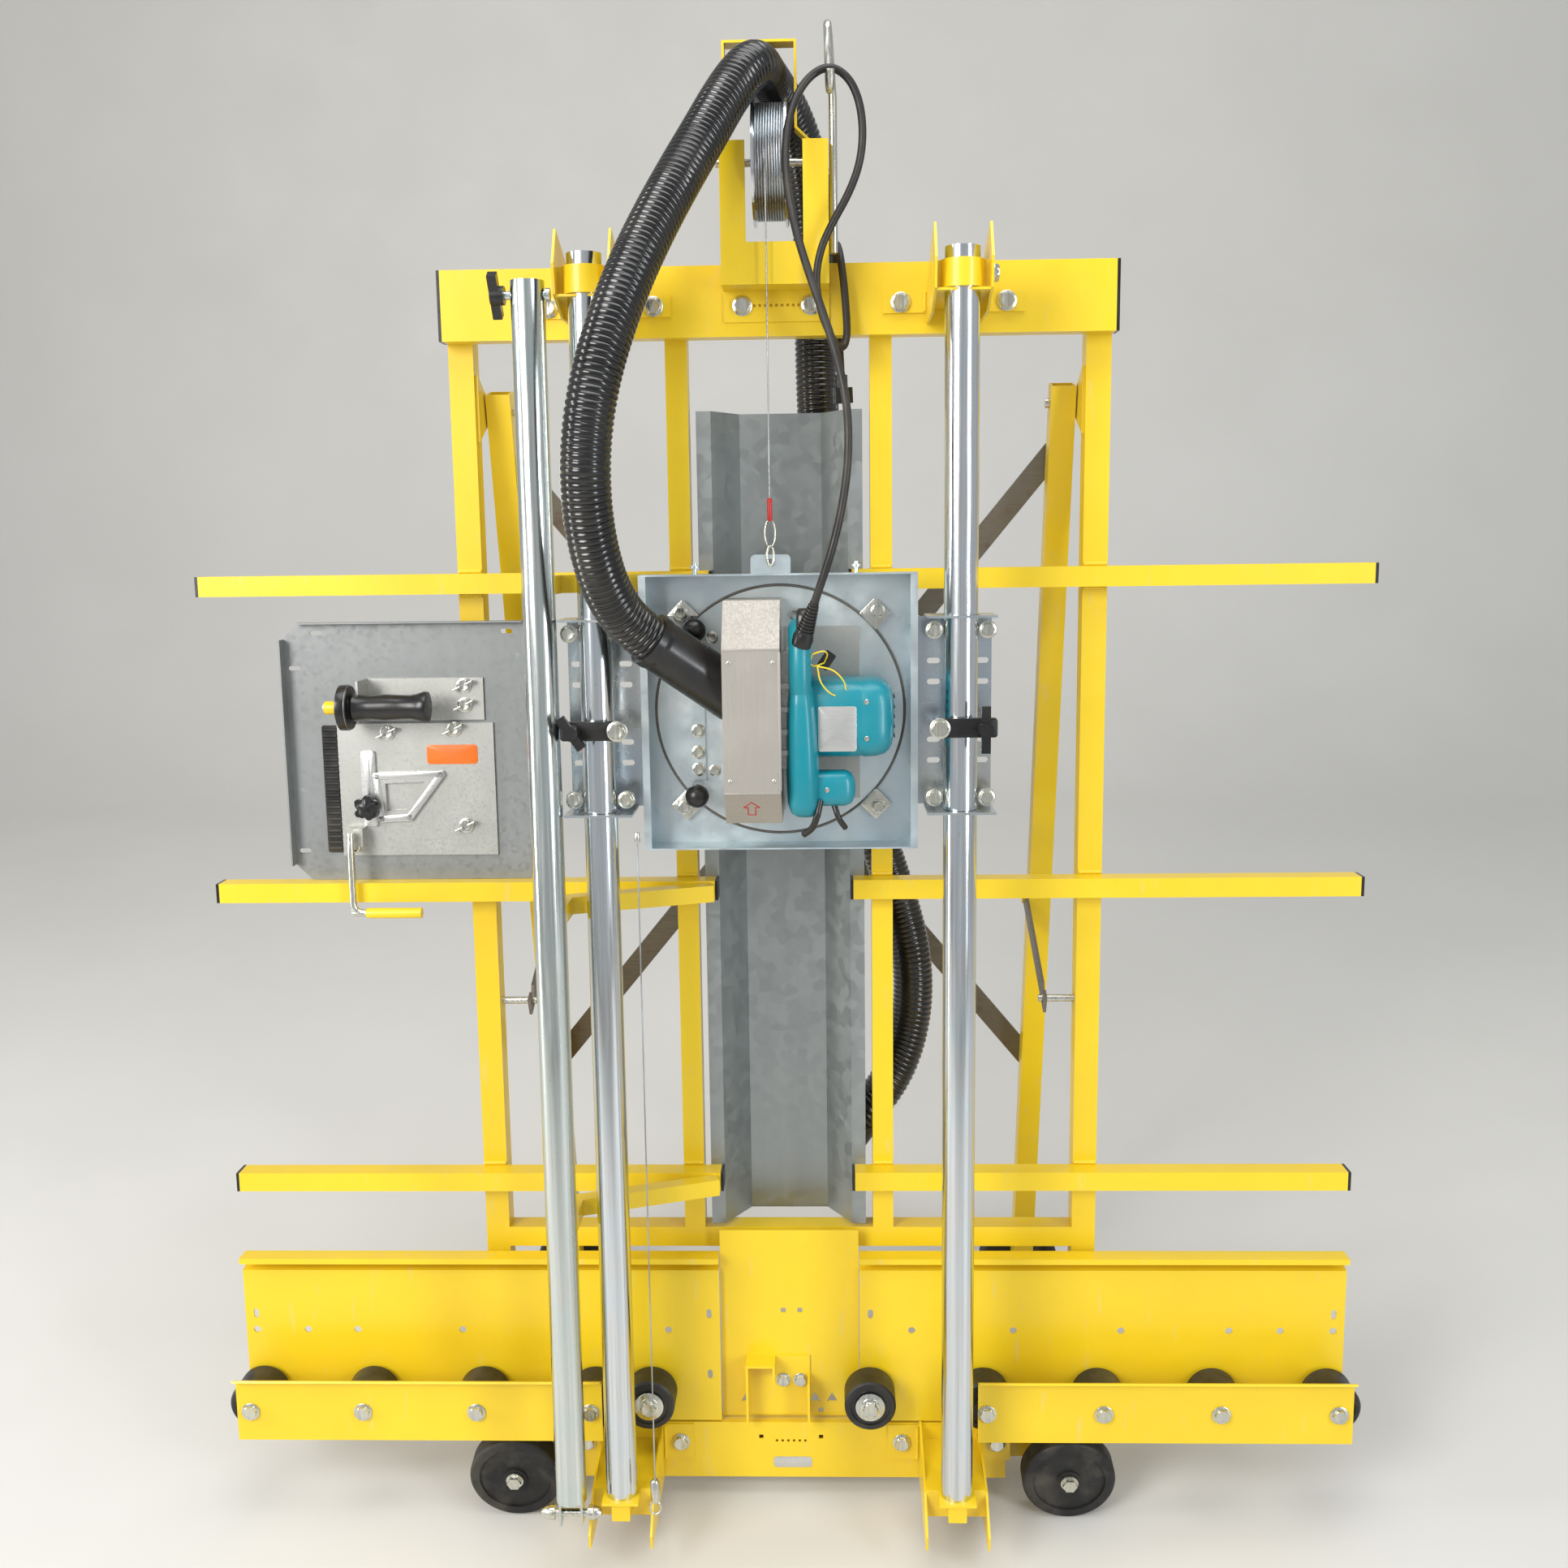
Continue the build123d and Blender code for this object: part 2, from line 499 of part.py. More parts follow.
def make_rollers():
    roller_middle = ROLLER_BACK + ROLLER_LONG / 2
    for number, x in enumerate(ROLLER_XS, 1):
        with BuildPart(MACHINE) as roller:
            rod(x, ROLLER_U, roller_middle, ROLLER_R, ROLLER_LONG)
            chamfer(roller.edges().filter_by(GeomType.CIRCLE), 2.5)
            rod(x, ROLLER_U, ROLLER_BACK + ROLLER_LONG, ROLLER_R - 8, 4, "n", Mode.SUBTRACT)
            rod(x, ROLLER_U, ROLLER_BACK + ROLLER_LONG, 16, 4)
            rod(x, ROLLER_U, roller_middle, ROLLER_BOLT_R + FIT, ROLLER_LONG + 10, "n", Mode.SUBTRACT)
        save(roller, f"roller_{number:02d}")

    front_y = spot(0, WHEEL_U, WHEEL_N).Y
    foot = leg_spot(LEG_X, LEG_LONG - 20)
    rear_y = foot.Y + 16 + 8 + WHEEL_WIDE / 2
    spots = {"front_left_wheel": (-WHEEL_X, front_y), "front_right_wheel": (WHEEL_X, front_y),
             "rear_left_wheel": (-LEG_X, rear_y), "rear_right_wheel": (LEG_X, rear_y)}
    for name, (x, y) in spots.items():
        hub_plane = Plane(origin=(x, y - WHEEL_WIDE / 2, WHEEL_R), x_dir=(1, 0, 0), z_dir=(0, 1, 0))
        with BuildPart(hub_plane) as wheel:
            with BuildSketch(hub_plane):
                Circle(WHEEL_R)
            extrude(amount=WHEEL_WIDE)
            fillet(wheel.edges().filter_by(GeomType.CIRCLE), 5)
            with BuildSketch(hub_plane):
                Circle(WHEEL_R - 14)
                Circle(16, mode=Mode.SUBTRACT)
            extrude(amount=3, mode=Mode.SUBTRACT)
            with BuildSketch(hub_plane):
                Circle(AXLE_R + FIT)
            extrude(amount=WHEEL_WIDE, mode=Mode.SUBTRACT)
        save(wheel, name)
    return front_y, rear_y


def make_fasteners(front_y):
    roller_reach = GUARD_N + GUARD_SHEET
    hub_front = ROLLER_BACK + ROLLER_LONG + 2 + GAP
    with BuildPart(MACHINE) as frame_bolts:
        outer = [(x, ROLLER_U) for x in ROLLER_XS if abs(x) > GUARD_ENDS[0]]
        inner = [(x, ROLLER_U) for x in ROLLER_XS if abs(x) < GUARD_ENDS[0]]
        hex_bolts(front(roller_reach), outer, ROLLER_BOLT_R, roller_reach + 6)
        hex_bolts(front(hub_front), inner, ROLLER_BOLT_R, hub_front + 6)
        for hand in (-1, 1):
            hinge_x = hand * (UPRIGHT_OUT - UPRIGHT_WIDE)
            pin_long = UPRIGHT_WIDE + LEG_WIDE
            rod(hinge_x - hand * (pin_long / 2 - 16), LEG_HINGE_U, LEG_HINGE_N, HINGE_PIN_R, pin_long - 8, "x")
            stay_x = hand * (LEG_X - LEG_WIDE / 2 - STAY_THICK - 6)
            stay_end = hand * (UPRIGHT_OUT - UPRIGHT_WIDE)
            rod((stay_x + stay_end) / 2, *STAY_UPRIGHT, STAY_PIN_R, abs(stay_end - stay_x), "x")
        rod(-5, DRUM_U, DRUM_N, 5, 2 * BRACKET_HALF - 2 * SHEET + 12, "x")
        for hand in (-1, 1):
            block((hand * WHEEL_X - 15, hand * WHEEL_X + 15), (WHEEL_U - 11, WHEEL_U + 15), (-BAR_DEEP + 3, 9))
            axle_plane = Plane(origin=(hand * WHEEL_X, front_y - WHEEL_WIDE / 2 - 1, WHEEL_R),
                               x_dir=(1, 0, 0), z_dir=(0, 1, 0))
            with BuildSketch(axle_plane) as axle:
                Circle(AXLE_R)
            extrude(axle.sketch, amount=WHEEL_WIDE + 12)
            with BuildSketch(axle_plane) as hub_washer:
                Circle(12)
            extrude(hub_washer.sketch, amount=-3)
            with BuildSketch(axle_plane.offset(-3)) as axle_head:
                RegularPolygon(10, 6)
            extrude(axle_head.sketch, amount=-6)
        rod(HOLD_X - 2, HOLD_PIVOT_U, HOLD_N, ROLLER_BOLT_R, 52, "x")
        rod(HOLD_X - 30, HOLD_PIVOT_U, HOLD_N, 8, 8, "x")
    save(frame_bolts, "frame_bolts")


# ---------------------------------------------------------------- top bracket, drum, loop and hook
def make_head():
    with BuildPart(MACHINE) as pulley_bracket:
        block((-BRACKET_HALF, BRACKET_HALF), (1592, 1633), (0, SHEET))
        block((-BRACKET_HALF, BRACKET_HALF), (1630, 1633), (SHEET, BRACKET_N))
        block((-BRACKET_HALF, BRACKET_HALF), (1630, 1680), (BRACKET_N - SHEET, BRACKET_N))
        for hand in (-1, 1):
            face = sorted((hand * (BRACKET_HALF - 31), hand * BRACKET_HALF))
            block(face, (1680, BRACKET_TOP), (BRACKET_N - SHEET, BRACKET_N))
            cheek = sorted((hand * (BRACKET_HALF - SHEET), hand * BRACKET_HALF))
            block(cheek, (BEAM[1], BRACKET_TOP), (-BAR_DEEP, BRACKET_N - SHEET))
            block(cheek, (1633, BEAM[1]), (SHEET, BRACKET_N - SHEET))
            rod(hand * BRACKET_HALF, DRUM_U, DRUM_N, 5 + FIT, 20, "x", Mode.SUBTRACT)
        hex_bolts(front(SHEET), [(-43, 1612), (43, 1612)], 5)
        with BuildSketch(front(SHEET + 1)) as peep_holes:
            with Locations(*[(-28 + 7 * step, 1612) for step in range(9)]):
                Circle(1.8)
        extrude(peep_holes.sketch, amount=-SHEET - 1, mode=Mode.SUBTRACT)
    save(pulley_bracket, "pulley_bracket")

    with BuildPart(MACHINE) as cable_drum:
        width = 43.0
        rod(-5.5, DRUM_U, DRUM_N, DRUM_ROPE_R - 1, width, "x")
        for x in (-25.5, 14.5):
            rod(x, DRUM_U, DRUM_N, DRUM_R, 3, "x")
        for step in range(7):
            rod(-20 + 5 * step, DRUM_U, DRUM_N, DRUM_ROPE_R, 3.6, "x")
        rod(-5.5, DRUM_U, DRUM_N, 5 + FIT, 60, "x", Mode.SUBTRACT)
    save(cable_drum, "cable_drum")

    with BuildPart(MACHINE) as lift_cable:
        cable_n = DRUM_N + DRUM_ROPE_R + CABLE_R + 0.5
        rod(CABLE_X, (DRUM_U + 1345) / 2, cable_n, CABLE_R, DRUM_U - 1345, "u")
        rod(CABLE_X, 1360, cable_n, 3, 28, "u")
        with BuildSketch(front(cable_n - CABLE_R)) as eye:
            with Locations((CABLE_X, 1330)):
                Ellipse(7.5, 18)
                Ellipse(5.5, 16, mode=Mode.SUBTRACT)
        extrude(eye.sketch, amount=2 * CABLE_R)
        with BuildSketch(front(cable_n - 1)) as snap_hook:
            with Locations((CABLE_X, 1302)):
                Ellipse(5, 13)
                Ellipse(2.6, 10, mode=Mode.SUBTRACT)
        extrude(snap_hook.sketch, amount=2)
    save(lift_cable, "lift_cable")

    with BuildPart(MACHINE) as hose_loop:
        loop_line = [(-63, 1700), (-63, 1923), (28, 1923), (28, 1822), (60, 1792), (60, 1700)]
        with BuildSketch(front(-14)) as loop_section:
            with BuildLine():
                Polyline(*folded(loop_line, -SHEET), close=True)
            make_face()
        extrude(loop_section.sketch, amount=26)
        rod(-62, DRUM_U, DRUM_N, 5 + FIT, 10, "x", Mode.SUBTRACT)
        rod(62, DRUM_U, DRUM_N, 5 + FIT, 12, "x", Mode.SUBTRACT)
    save(hose_loop, "hose_loop")

    hook_points = [spot(*p) for p in [(72, 1668, 30), (72, 1850, 22), (67, 1931, 18), (66, 1931, 44),
                                      (68, 1852, 60), (69, 1844, 76), (69, 1866, 86)]]
    with BuildPart() as cord_hook:
        with BuildLine() as hook_path:
            FilletPolyline(*hook_points, radius=[60, 11, 11, 8, 8])
        with BuildSketch(Plane(origin=hook_points[0], z_dir=hook_path.wire() % 0)) as hook_section:
            Circle(5)
        sweep(hook_section.sketch, path=hook_path.wire())
    save(cord_hook, "cord_hook")


# ---------------------------------------------------------------- carriage
def make_carriage():
    low = CARRIAGE_U - PAN_HALF
    high = CARRIAGE_U + PAN_HALF
    with BuildPart(MACHINE) as carriage_pan:
        block((-PAN_HALF, PAN_HALF), (low, high), (PAN_BACK, PAN_BACK + PAN_SHEET))
        block((-PAN_HALF, PAN_HALF), (low, low + PAN_SHEET), (PAN_BACK, PAN_FRONT))
        block((-PAN_HALF, PAN_HALF), (high - PAN_SHEET, high), (PAN_BACK, PAN_FRONT))
        for hand in (-1, 1):
            wall = sorted((hand * PAN_HALF, hand * (PAN_HALF - PAN_SHEET)))
            block(wall, (low, high), (PAN_BACK, PAN_FRONT))
            return_lip = sorted((hand * PAN_HALF, hand * (PAN_HALF - 9)))
            block(return_lip, (low, high), (PAN_FRONT - PAN_SHEET, PAN_FRONT))
        rod(0, CARRIAGE_U, PAN_BACK, PAN_HOLE_R, 12, "n", Mode.SUBTRACT)
        with BuildSketch(front(PAN_BACK)) as tab:
            with Locations((CABLE_X, high + 8)):
                RectangleRounded(50, 30, 6)
            with Locations((CABLE_X, high + 15)):
                Circle(3, mode=Mode.SUBTRACT)
        extrude(tab.sketch, amount=-PAN_SHEET)
        for across in (-1, 1):
            for up in (-1, 1):
                clip_x, clip_u = across * CLIP_AT, CARRIAGE_U + up * CLIP_AT
                with Locations(Location((clip_x, clip_u, PAN_BACK + 8), (0, 0, 45))):
                    Box(28, 28, 2)
                rod(clip_x + across * 3, clip_u + up * 3, PAN_BACK + 4.5, 5, 5.2)
                hex_bolts(front(PAN_BACK + 9), [(clip_x + across * 3, clip_u + up * 3)], 3.5)
        for x in (-102, 96):
            rod(x, high + 7, PAN_FRONT - 12, 3, 14, "u")
            rod(x, high + 9, PAN_FRONT - 12, 6, 3, "u")
    save(carriage_pan, "carriage_pan")

    with BuildPart(MACHINE) as turntable:
        face = (PAN_BACK + PAN_SHEET + GAP, PAN_BACK + PAN_SHEET + GAP + TABLE_THICK)
        rod(0, CARRIAGE_U, (face[0] + face[1]) / 2, TABLE_R, TABLE_THICK)
        block((BLADE_X - 10, BLADE_X + 10), (CARRIAGE_U - 104, CARRIAGE_U + 104), (50, 80), Mode.SUBTRACT)
        for up in (-1, 1):
            rod(PIN_X, CARRIAGE_U + up * PIN_OFF, face[1] + 5, 8, 10)
            rod(PIN_X, CARRIAGE_U + up * PIN_OFF, face[1], PIN_R + FIT, 30, "n", Mode.SUBTRACT)
        block((-113, -95), (CARRIAGE_U - 88, CARRIAGE_U + 60), (face[1], face[1] + 3))
        hex_bolts(front(face[1] + 3), [(-104, CARRIAGE_U - 74), (-104, CARRIAGE_U - 52),
                                       (-104, CARRIAGE_U - 25)], 3.5)
        hex_bolts(front(face[1]), [(-84, CARRIAGE_U - 76), (-84, CARRIAGE_U + 92), (20, CARRIAGE_U + 120)], 3)
    save(turntable, "turntable")

    for name, up in (("lower_index_pin", -1), ("upper_index_pin", 1)):
        at = CARRIAGE_U + up * PIN_OFF
        with BuildPart(MACHINE) as index_pin:
            rod(PIN_X, at, (PIN_TIP + PIN_BALL_N) / 2, PIN_R, PIN_BALL_N - PIN_TIP)
            with Locations((PIN_X, at, PIN_BALL_N)):
                Sphere(14.5)
        save(index_pin, name)

    with BuildPart(MACHINE) as carriage_brackets:
        for hand in (-1, 1):
            reach = sorted((hand * PAN_HALF, hand * (TUBE_X + SIDE_WIDE)))
            block(reach, (CARRIAGE_U - SIDE_HALF + 3, CARRIAGE_U + SIDE_HALF - 3), (SIDE_N, SIDE_N + 3))
            lip = sorted((hand * PAN_HALF, hand * (PAN_HALF + 3)))
            block(lip, (CARRIAGE_U - SIDE_HALF + 3, CARRIAGE_U + SIDE_HALF - 3), (PAN_BACK, SIDE_N))
            for edge in (CARRIAGE_U - SIDE_HALF, CARRIAGE_U + SIDE_HALF - 3):
                shelf = sorted((hand * (TUBE_X - SIDE_WIDE), hand * (TUBE_X + SIDE_WIDE)))
                block(shelf, (edge, edge + 3), (SIDE_N, FLANGE_FRONT))
                rod(hand * TUBE_X, edge, TUBE_N, TUBE_R + 2.5, 12, "u", Mode.SUBTRACT)
            with BuildSketch(front(SIDE_N - 1)) as slots:
                with Locations(*[(hand * (TUBE_X + side_x), CARRIAGE_U + rise)
                                 for side_x in (-30, 30) for rise in (-62, -36, 36, 62)]):
                    SlotOverall(16, 7)
            extrude(slots.sketch, amount=5, mode=Mode.SUBTRACT)
            bar = sorted((hand * (TUBE_X - 32), hand * (TUBE_X + 41)))
            bar_n = (TUBE_N + TUBE_R + 1, TUBE_N + TUBE_R + 10)
            block(bar, (CARRIAGE_U - 25, CARRIAGE_U - 3), bar_n)
            rod(hand * (TUBE_X - 27), CARRIAGE_U - 14, (SIDE_N + 3 + bar_n[0]) / 2, 6, bar_n[0] - SIDE_N - 3)
            hex_bolts(front(bar_n[1]), [(hand * (TUBE_X - 27), CARRIAGE_U - 14)], 5)
            rod(hand * LOCK_X, CARRIAGE_U - 14, bar_n[1], 4 + FIT, 40, "n", Mode.SUBTRACT)
    save(carriage_brackets, "carriage_brackets")

    with BuildPart(MACHINE) as carriage_bearings:
        for hand in (-1, 1):
            middle = hand * TUBE_X
            for up in (-1, 1):
                level = CARRIAGE_U + up * (SIDE_HALF - 18)
                for side_hand in (-1, 1):
                    x = middle + side_hand * (TUBE_R + BEARING_R + GAP)
                    rod(x, level, TUBE_N, BEARING_R, BEARING_WIDE)
                    rod(x, level, (SIDE_N + 3 + TUBE_N) / 2, 4, TUBE_N - SIDE_N - 3)
                    hex_bolts(front(TUBE_N + BEARING_WIDE / 2), [(x, level)], 4)
                inward = CARRIAGE_U + up * (SIDE_HALF - 42)
                back_r = (TUBE_N - TUBE_R - GAP - SIDE_N - 3 - 1) / 2
                rod(middle, inward, SIDE_N + 4 + back_r, back_r, BEARING_WIDE, "x")
                rod(middle, inward, SIDE_N + 4 + back_r, 3, 24, "x")
                for end in (-13.5, 10.5):
                    block((middle + end, middle + end + 3), (inward - 6, inward + 6),
                          (SIDE_N + 3, SIDE_N + 9 + back_r))
    save(carriage_bearings, "carriage_bearings")

    locks = (("left_lock_lever", -1, 35, 45), ("right_lock_lever", 1, 0, 56))
    for name, hand, wing_turn, wing_long in locks:
        x = hand * LOCK_X
        knob_n = TUBE_N + TUBE_R + 10 + GAP
        with BuildPart(MACHINE) as lock_lever:
            rod(x, CARRIAGE_U - 14, (SIDE_N + 3 + GAP + knob_n) / 2, 4, knob_n - SIDE_N - 3 - GAP)
            rod(x, CARRIAGE_U - 14, knob_n + 12, 9, 24)
            with Locations(Location((x, CARRIAGE_U - 14, knob_n + 18), (0, 0, wing_turn))):
                Box(11, wing_long, 9)
        save(lock_lever, name)


# ---------------------------------------------------------------- circular saw
def guard_outline(inset):
    """Side outline of the blade guard, or of its inside when inset is the wall."""
    low = SAW_MIDDLE - SAW_HALF_HIGH + inset
    high = SAW_MIDDLE + SAW_HALF_HIGH - inset
    top = GUARD_FRONT - inset
    return [(low, TABLE_TOP - inset), (low, top - 38), (SAW_MIDDLE - 92, top),
            (SAW_MIDDLE + 78, top), (high, top - 42), (high, TABLE_TOP - inset)]


def make_saw():
    with BuildPart(MACHINE) as blade_guard:
        slab(side(GUARD_X[0]), guard_outline(0), GUARD_X[1] - GUARD_X[0])
        inside = GUARD_X[1] - GUARD_X[0] - 2 * GUARD_WALL
        slab(side(GUARD_X[0] + GUARD_WALL), guard_outline(GUARD_WALL), inside, Mode.SUBTRACT)
        rod(0, CARRIAGE_U, BLADE_N, 24, 30, "x", Mode.SUBTRACT)
        rod(GUARD_X[0], CUFF_START[1], CUFF_START[2], 22, 12, "x", Mode.SUBTRACT)
        cuff_from = spot(*CUFF_START)
        cuff_aim = spot(*HOSE_START) - cuff_from
        cuff_plane = Plane(origin=cuff_from - cuff_aim.normalized() * 36, z_dir=cuff_aim)
        with BuildSketch(cuff_plane) as cuff:
            Circle(31)
            Circle(26, mode=Mode.SUBTRACT)
        extrude(cuff.sketch, amount=cuff_aim.length + 36 - GAP)
        clear_x = (GUARD_X[0] + GUARD_WALL, GUARD_X[1] - GUARD_WALL)
        slab(side(clear_x[0]), guard_outline(GUARD_WALL), clear_x[1] - clear_x[0], Mode.SUBTRACT)
    save(blade_guard, "blade_guard")

    with BuildPart(MACHINE) as saw_blade:
        rod(BLADE_X, CARRIAGE_U, BLADE_N, BLADE_R, BLADE_THICK, "x")
        teeth = 24
        with BuildSketch(side(BLADE_X - 2)) as gullets:
            with Locations((CARRIAGE_U, BLADE_N)):
                with PolarLocations(BLADE_R, teeth):
                    Circle(4)
        extrude(gullets.sketch, amount=4, mode=Mode.SUBTRACT)
        rod(BLADE_X, CARRIAGE_U, BLADE_N, 22, 8, "x")
        rod(BLADE_X, CARRIAGE_U, BLADE_N, ARBOR_R + FIT, 12, "x", Mode.SUBTRACT)
    save(saw_blade, "saw_blade")

    with BuildPart(MACHINE) as saw_base:
        rod(-11, CARRIAGE_U, BLADE_N, ARBOR_R, 46, "x")
        block((8, 100), (CARRIAGE_U - 112, CARRIAGE_U + 105), (TABLE_TOP, TABLE_TOP + 3))
        block((4 + GAP, 14), (CARRIAGE_U - 60, CARRIAGE_U + 75), (TABLE_TOP + 3, 168))
        rod(9, CARRIAGE_U, BLADE_N, 23, 9, "x")
        for rise in (-40, -15, 12, 40):
            block((4 + GAP, 15), (CARRIAGE_U + rise - 3, CARRIAGE_U + rise + 3), (168, 176))
        block((14, 60), (CARRIAGE_U - 116, CARRIAGE_U - 104), (TABLE_TOP + 3, TABLE_TOP + 22))
        block((26, 36), (CARRIAGE_U - 132, CARRIAGE_U - 106), (TABLE_TOP + 22, TABLE_TOP + 34))
    save(saw_base, "saw_base")

    with BuildPart(MACHINE) as saw_housing:
        with BuildSketch(side(15)) as handle_side:
            with Locations((CARRIAGE_U, 150)):
                RectangleRounded(232, 84, 34)
            with Locations((CARRIAGE_U + 72, 142)):
                SlotOverall(64, 26, mode=Mode.SUBTRACT)
        extrude(handle_side.sketch, amount=26)
        with BuildSketch(side(41)) as motor_side:
            with Locations((CARRIAGE_U - 2, MOTOR_N)):
                RectangleRounded(2 * MOTOR_R, 2 * MOTOR_R + 8, 24)
        extrude(motor_side.sketch, amount=94)
        with BuildSketch(side(15)) as grip_side:
            with Locations((CARRIAGE_U - 85, 158)):
                RectangleRounded(40, 36, 12)
        extrude(grip_side.sketch, amount=74)
        chamfer(saw_housing.faces().sort_by(Axis.X)[-1].edges(), 12)
        block((14, 60), (CARRIAGE_U + 48, CARRIAGE_U + 62), (166, 178), Mode.SUBTRACT)
        block((22.5, 33.5), (CARRIAGE_U + 57.5, CARRIAGE_U + 84.5), (153, 160), Mode.SUBTRACT)
    save(saw_housing, "saw_housing")

    with BuildPart(MACHINE) as saw_trigger:
        block((23, 33), (CARRIAGE_U + 58, CARRIAGE_U + 84), (147, 154.6))
        block((24, 32), (CARRIAGE_U + 62, CARRIAGE_U + 80), (141, 147))
    save(saw_trigger, "saw_trigger")


# ---------------------------------------------------------------- rear stand
def make_stand(rear_y):
    turned = Plane(origin=leg_spot(0, 0), x_dir=ACROSS, z_dir=leg_spot(0, 0, -1) - leg_spot(0, 0))

    with BuildPart(turned) as rear_legs:
        half = LEG_WIDE / 2
        for hand in (-1, 1):
            box_tube((hand * LEG_X - half, hand * LEG_X + half), (-LEG_LONG, 24), (-half, half), 2.5, "u")
            with Locations((hand * LEG_X, 0, 0)):
                Cylinder(HINGE_PIN_R + FIT, LEG_WIDE + 4, rotation=ALONG["x"], mode=Mode.SUBTRACT)
            block((hand * LEG_X - half, hand * LEG_X + half), (-LEG_LONG - 4, -LEG_LONG), (-half, half))
            inner = hand * (LEG_X - half)
            with Locations((inner - hand * (STAY_THICK / 2 + 2), -STAY_DROP, 0)):
                Cylinder(STAY_PIN_R, STAY_THICK + 4, rotation=ALONG["x"])
            foot_y = leg_spot(0, LEG_LONG - 20).Y
            axle_plane = Plane(origin=(hand * LEG_X, foot_y, WHEEL_R), x_dir=(1, 0, 0), z_dir=(0, 1, 0))
            with BuildSketch(axle_plane) as axle:
                Circle(AXLE_R)
            extrude(axle.sketch, amount=rear_y + WHEEL_WIDE / 2 + 1 - foot_y)
            with BuildSketch(axle_plane.offset(rear_y + WHEEL_WIDE / 2 + 1 - foot_y)) as axle_head:
                RegularPolygon(11, 6)
            extrude(axle_head.sketch, amount=6)
    save(rear_legs, "rear_legs")

    top_drop, low_drop = BRACE_DROPS
    run = math.hypot(2 * LEG_X, low_drop - top_drop)
    slope = math.degrees(math.atan2(low_drop - top_drop, 2 * LEG_X))
    with BuildPart(turned) as stand_braces:
        for hand in (-1, 1):
            layer = -LEG_WIDE / 2 - BRACE_THICK * (1.0 if hand < 0 else 2.0) + BRACE_THICK / 2
            with Locations(Location((0, -(top_drop + low_drop) / 2, layer), (0, 0, hand * slope))):
                Box(run + 24, BRACE_WIDE, BRACE_THICK)
        for hand in (-1, 1):
            for drop in BRACE_DROPS:
                on_first = (hand < 0) == (drop == top_drop)
                back = -LEG_WIDE / 2 - BRACE_THICK * (1 if on_first else 2)
                with Locations((hand * LEG_X, -drop, back - 3)):
                    Cylinder(9, 6)
    save(stand_braces, "stand_braces")

    pin = leg_spot(0, STAY_DROP)
    catch = spot(0, *STAY_UPRIGHT)
    reach = catch - pin
    stay_plane = Plane(origin=pin, x_dir=reach.normalized(), z_dir=ACROSS)
    with BuildPart(stay_plane) as stand_stays:
        for hand in (-1, 1):
            near = hand * (LEG_X - LEG_WIDE / 2 - GAP)
            far = near - hand * STAY_THICK
            with Locations((reach.length / 2, 0, (near + far) / 2)):
                Box(reach.length + 30, STAY_WIDE, STAY_THICK)
            with Locations((0, 0, near)):
                Cylinder(STAY_PIN_R + FIT, 3 * STAY_THICK, mode=Mode.SUBTRACT)
            with Locations((reach.length, 0, near)):
                Cylinder(STAY_SLOT / 2, 3 * STAY_THICK, mode=Mode.SUBTRACT)
            with Locations(Location((reach.length, 0, near), (0, 0, STAY_NOTCH_TURN))):
                with Locations((0, -STAY_WIDE / 2, 0)):
                    Box(STAY_SLOT, STAY_WIDE, 3 * STAY_THICK, mode=Mode.SUBTRACT)
    save(stand_stays, "stand_stays")


# ---------------------------------------------------------------- hose and cord
FRONT_HOSE = [HOSE_START, (-171, 1225, 199), (-192, 1265, 228), (-202, 1315, 256), (-205, 1369, 277),
              (-202, 1427, 288), (-192, 1488, 286), (-176, 1549, 268), (-156, 1611, 238),
              (-132, 1672, 200), (-105, 1733, 157), (-78, 1790, 115), (-54, 1840, 83), (-34, 1874, 56),
              (-20, 1890, 33.5), (-16, 1890, 8)]
REAR_HOSE = [(-16, 1890, 7.5), (-11.5, 1890, -21), (0, 1883, -58), (20, 1858, -93), (37, 1815, -117),
             (45, 1760, -132), (48, 1690, -143), (47, 1600, -149), (49, 1500, -150), (53, 1395, -151),
             (60, 1290, -150), (71, 1190, -151), (86, 1090, -150), (106, 990, -151), (132, 895, -150),
             (158, 815, -151), (176, 745, -150), (180, 680, -149), (173, 622, -146), (156, 572, -138),
             (130, 533, -127), (103.5, 508, -118.5), (80.4, 473.6, -117.5)]
SAW_CORD = [(38, 1226, 197), (50, 1262, 212), (65, 1304, 217), (78, 1354, 214), (86, 1409, 206),
            (86, 1466, 195), (76, 1521, 183), (60, 1573, 170), (42, 1625, 154), (27, 1676, 137),
            (17, 1727, 119), (15, 1777, 101), (22, 1823, 85), (40, 1859, 73), (66, 1875, 70),
            (89, 1864, 68), (103, 1838, 67), (108, 1802, 67), (104, 1764, 68), (90, 1729, 69),
            (71, 1698, 68), (55, 1666, 66), (49, 1629, 62), (56, 1594, 54), (66, 1571, 46),
            (75, 1556, 38), (84, 1556, 29), (88, 1572, 22), (87, 1600, 18), (84, 1637, 16),
            (80, 1669, 11), (76, 1688, -9), (74, 1686, -37), (74, 1662, -58), (76, 1624, -68),
            (79, 1578, -71), (81, 1534, -74)]


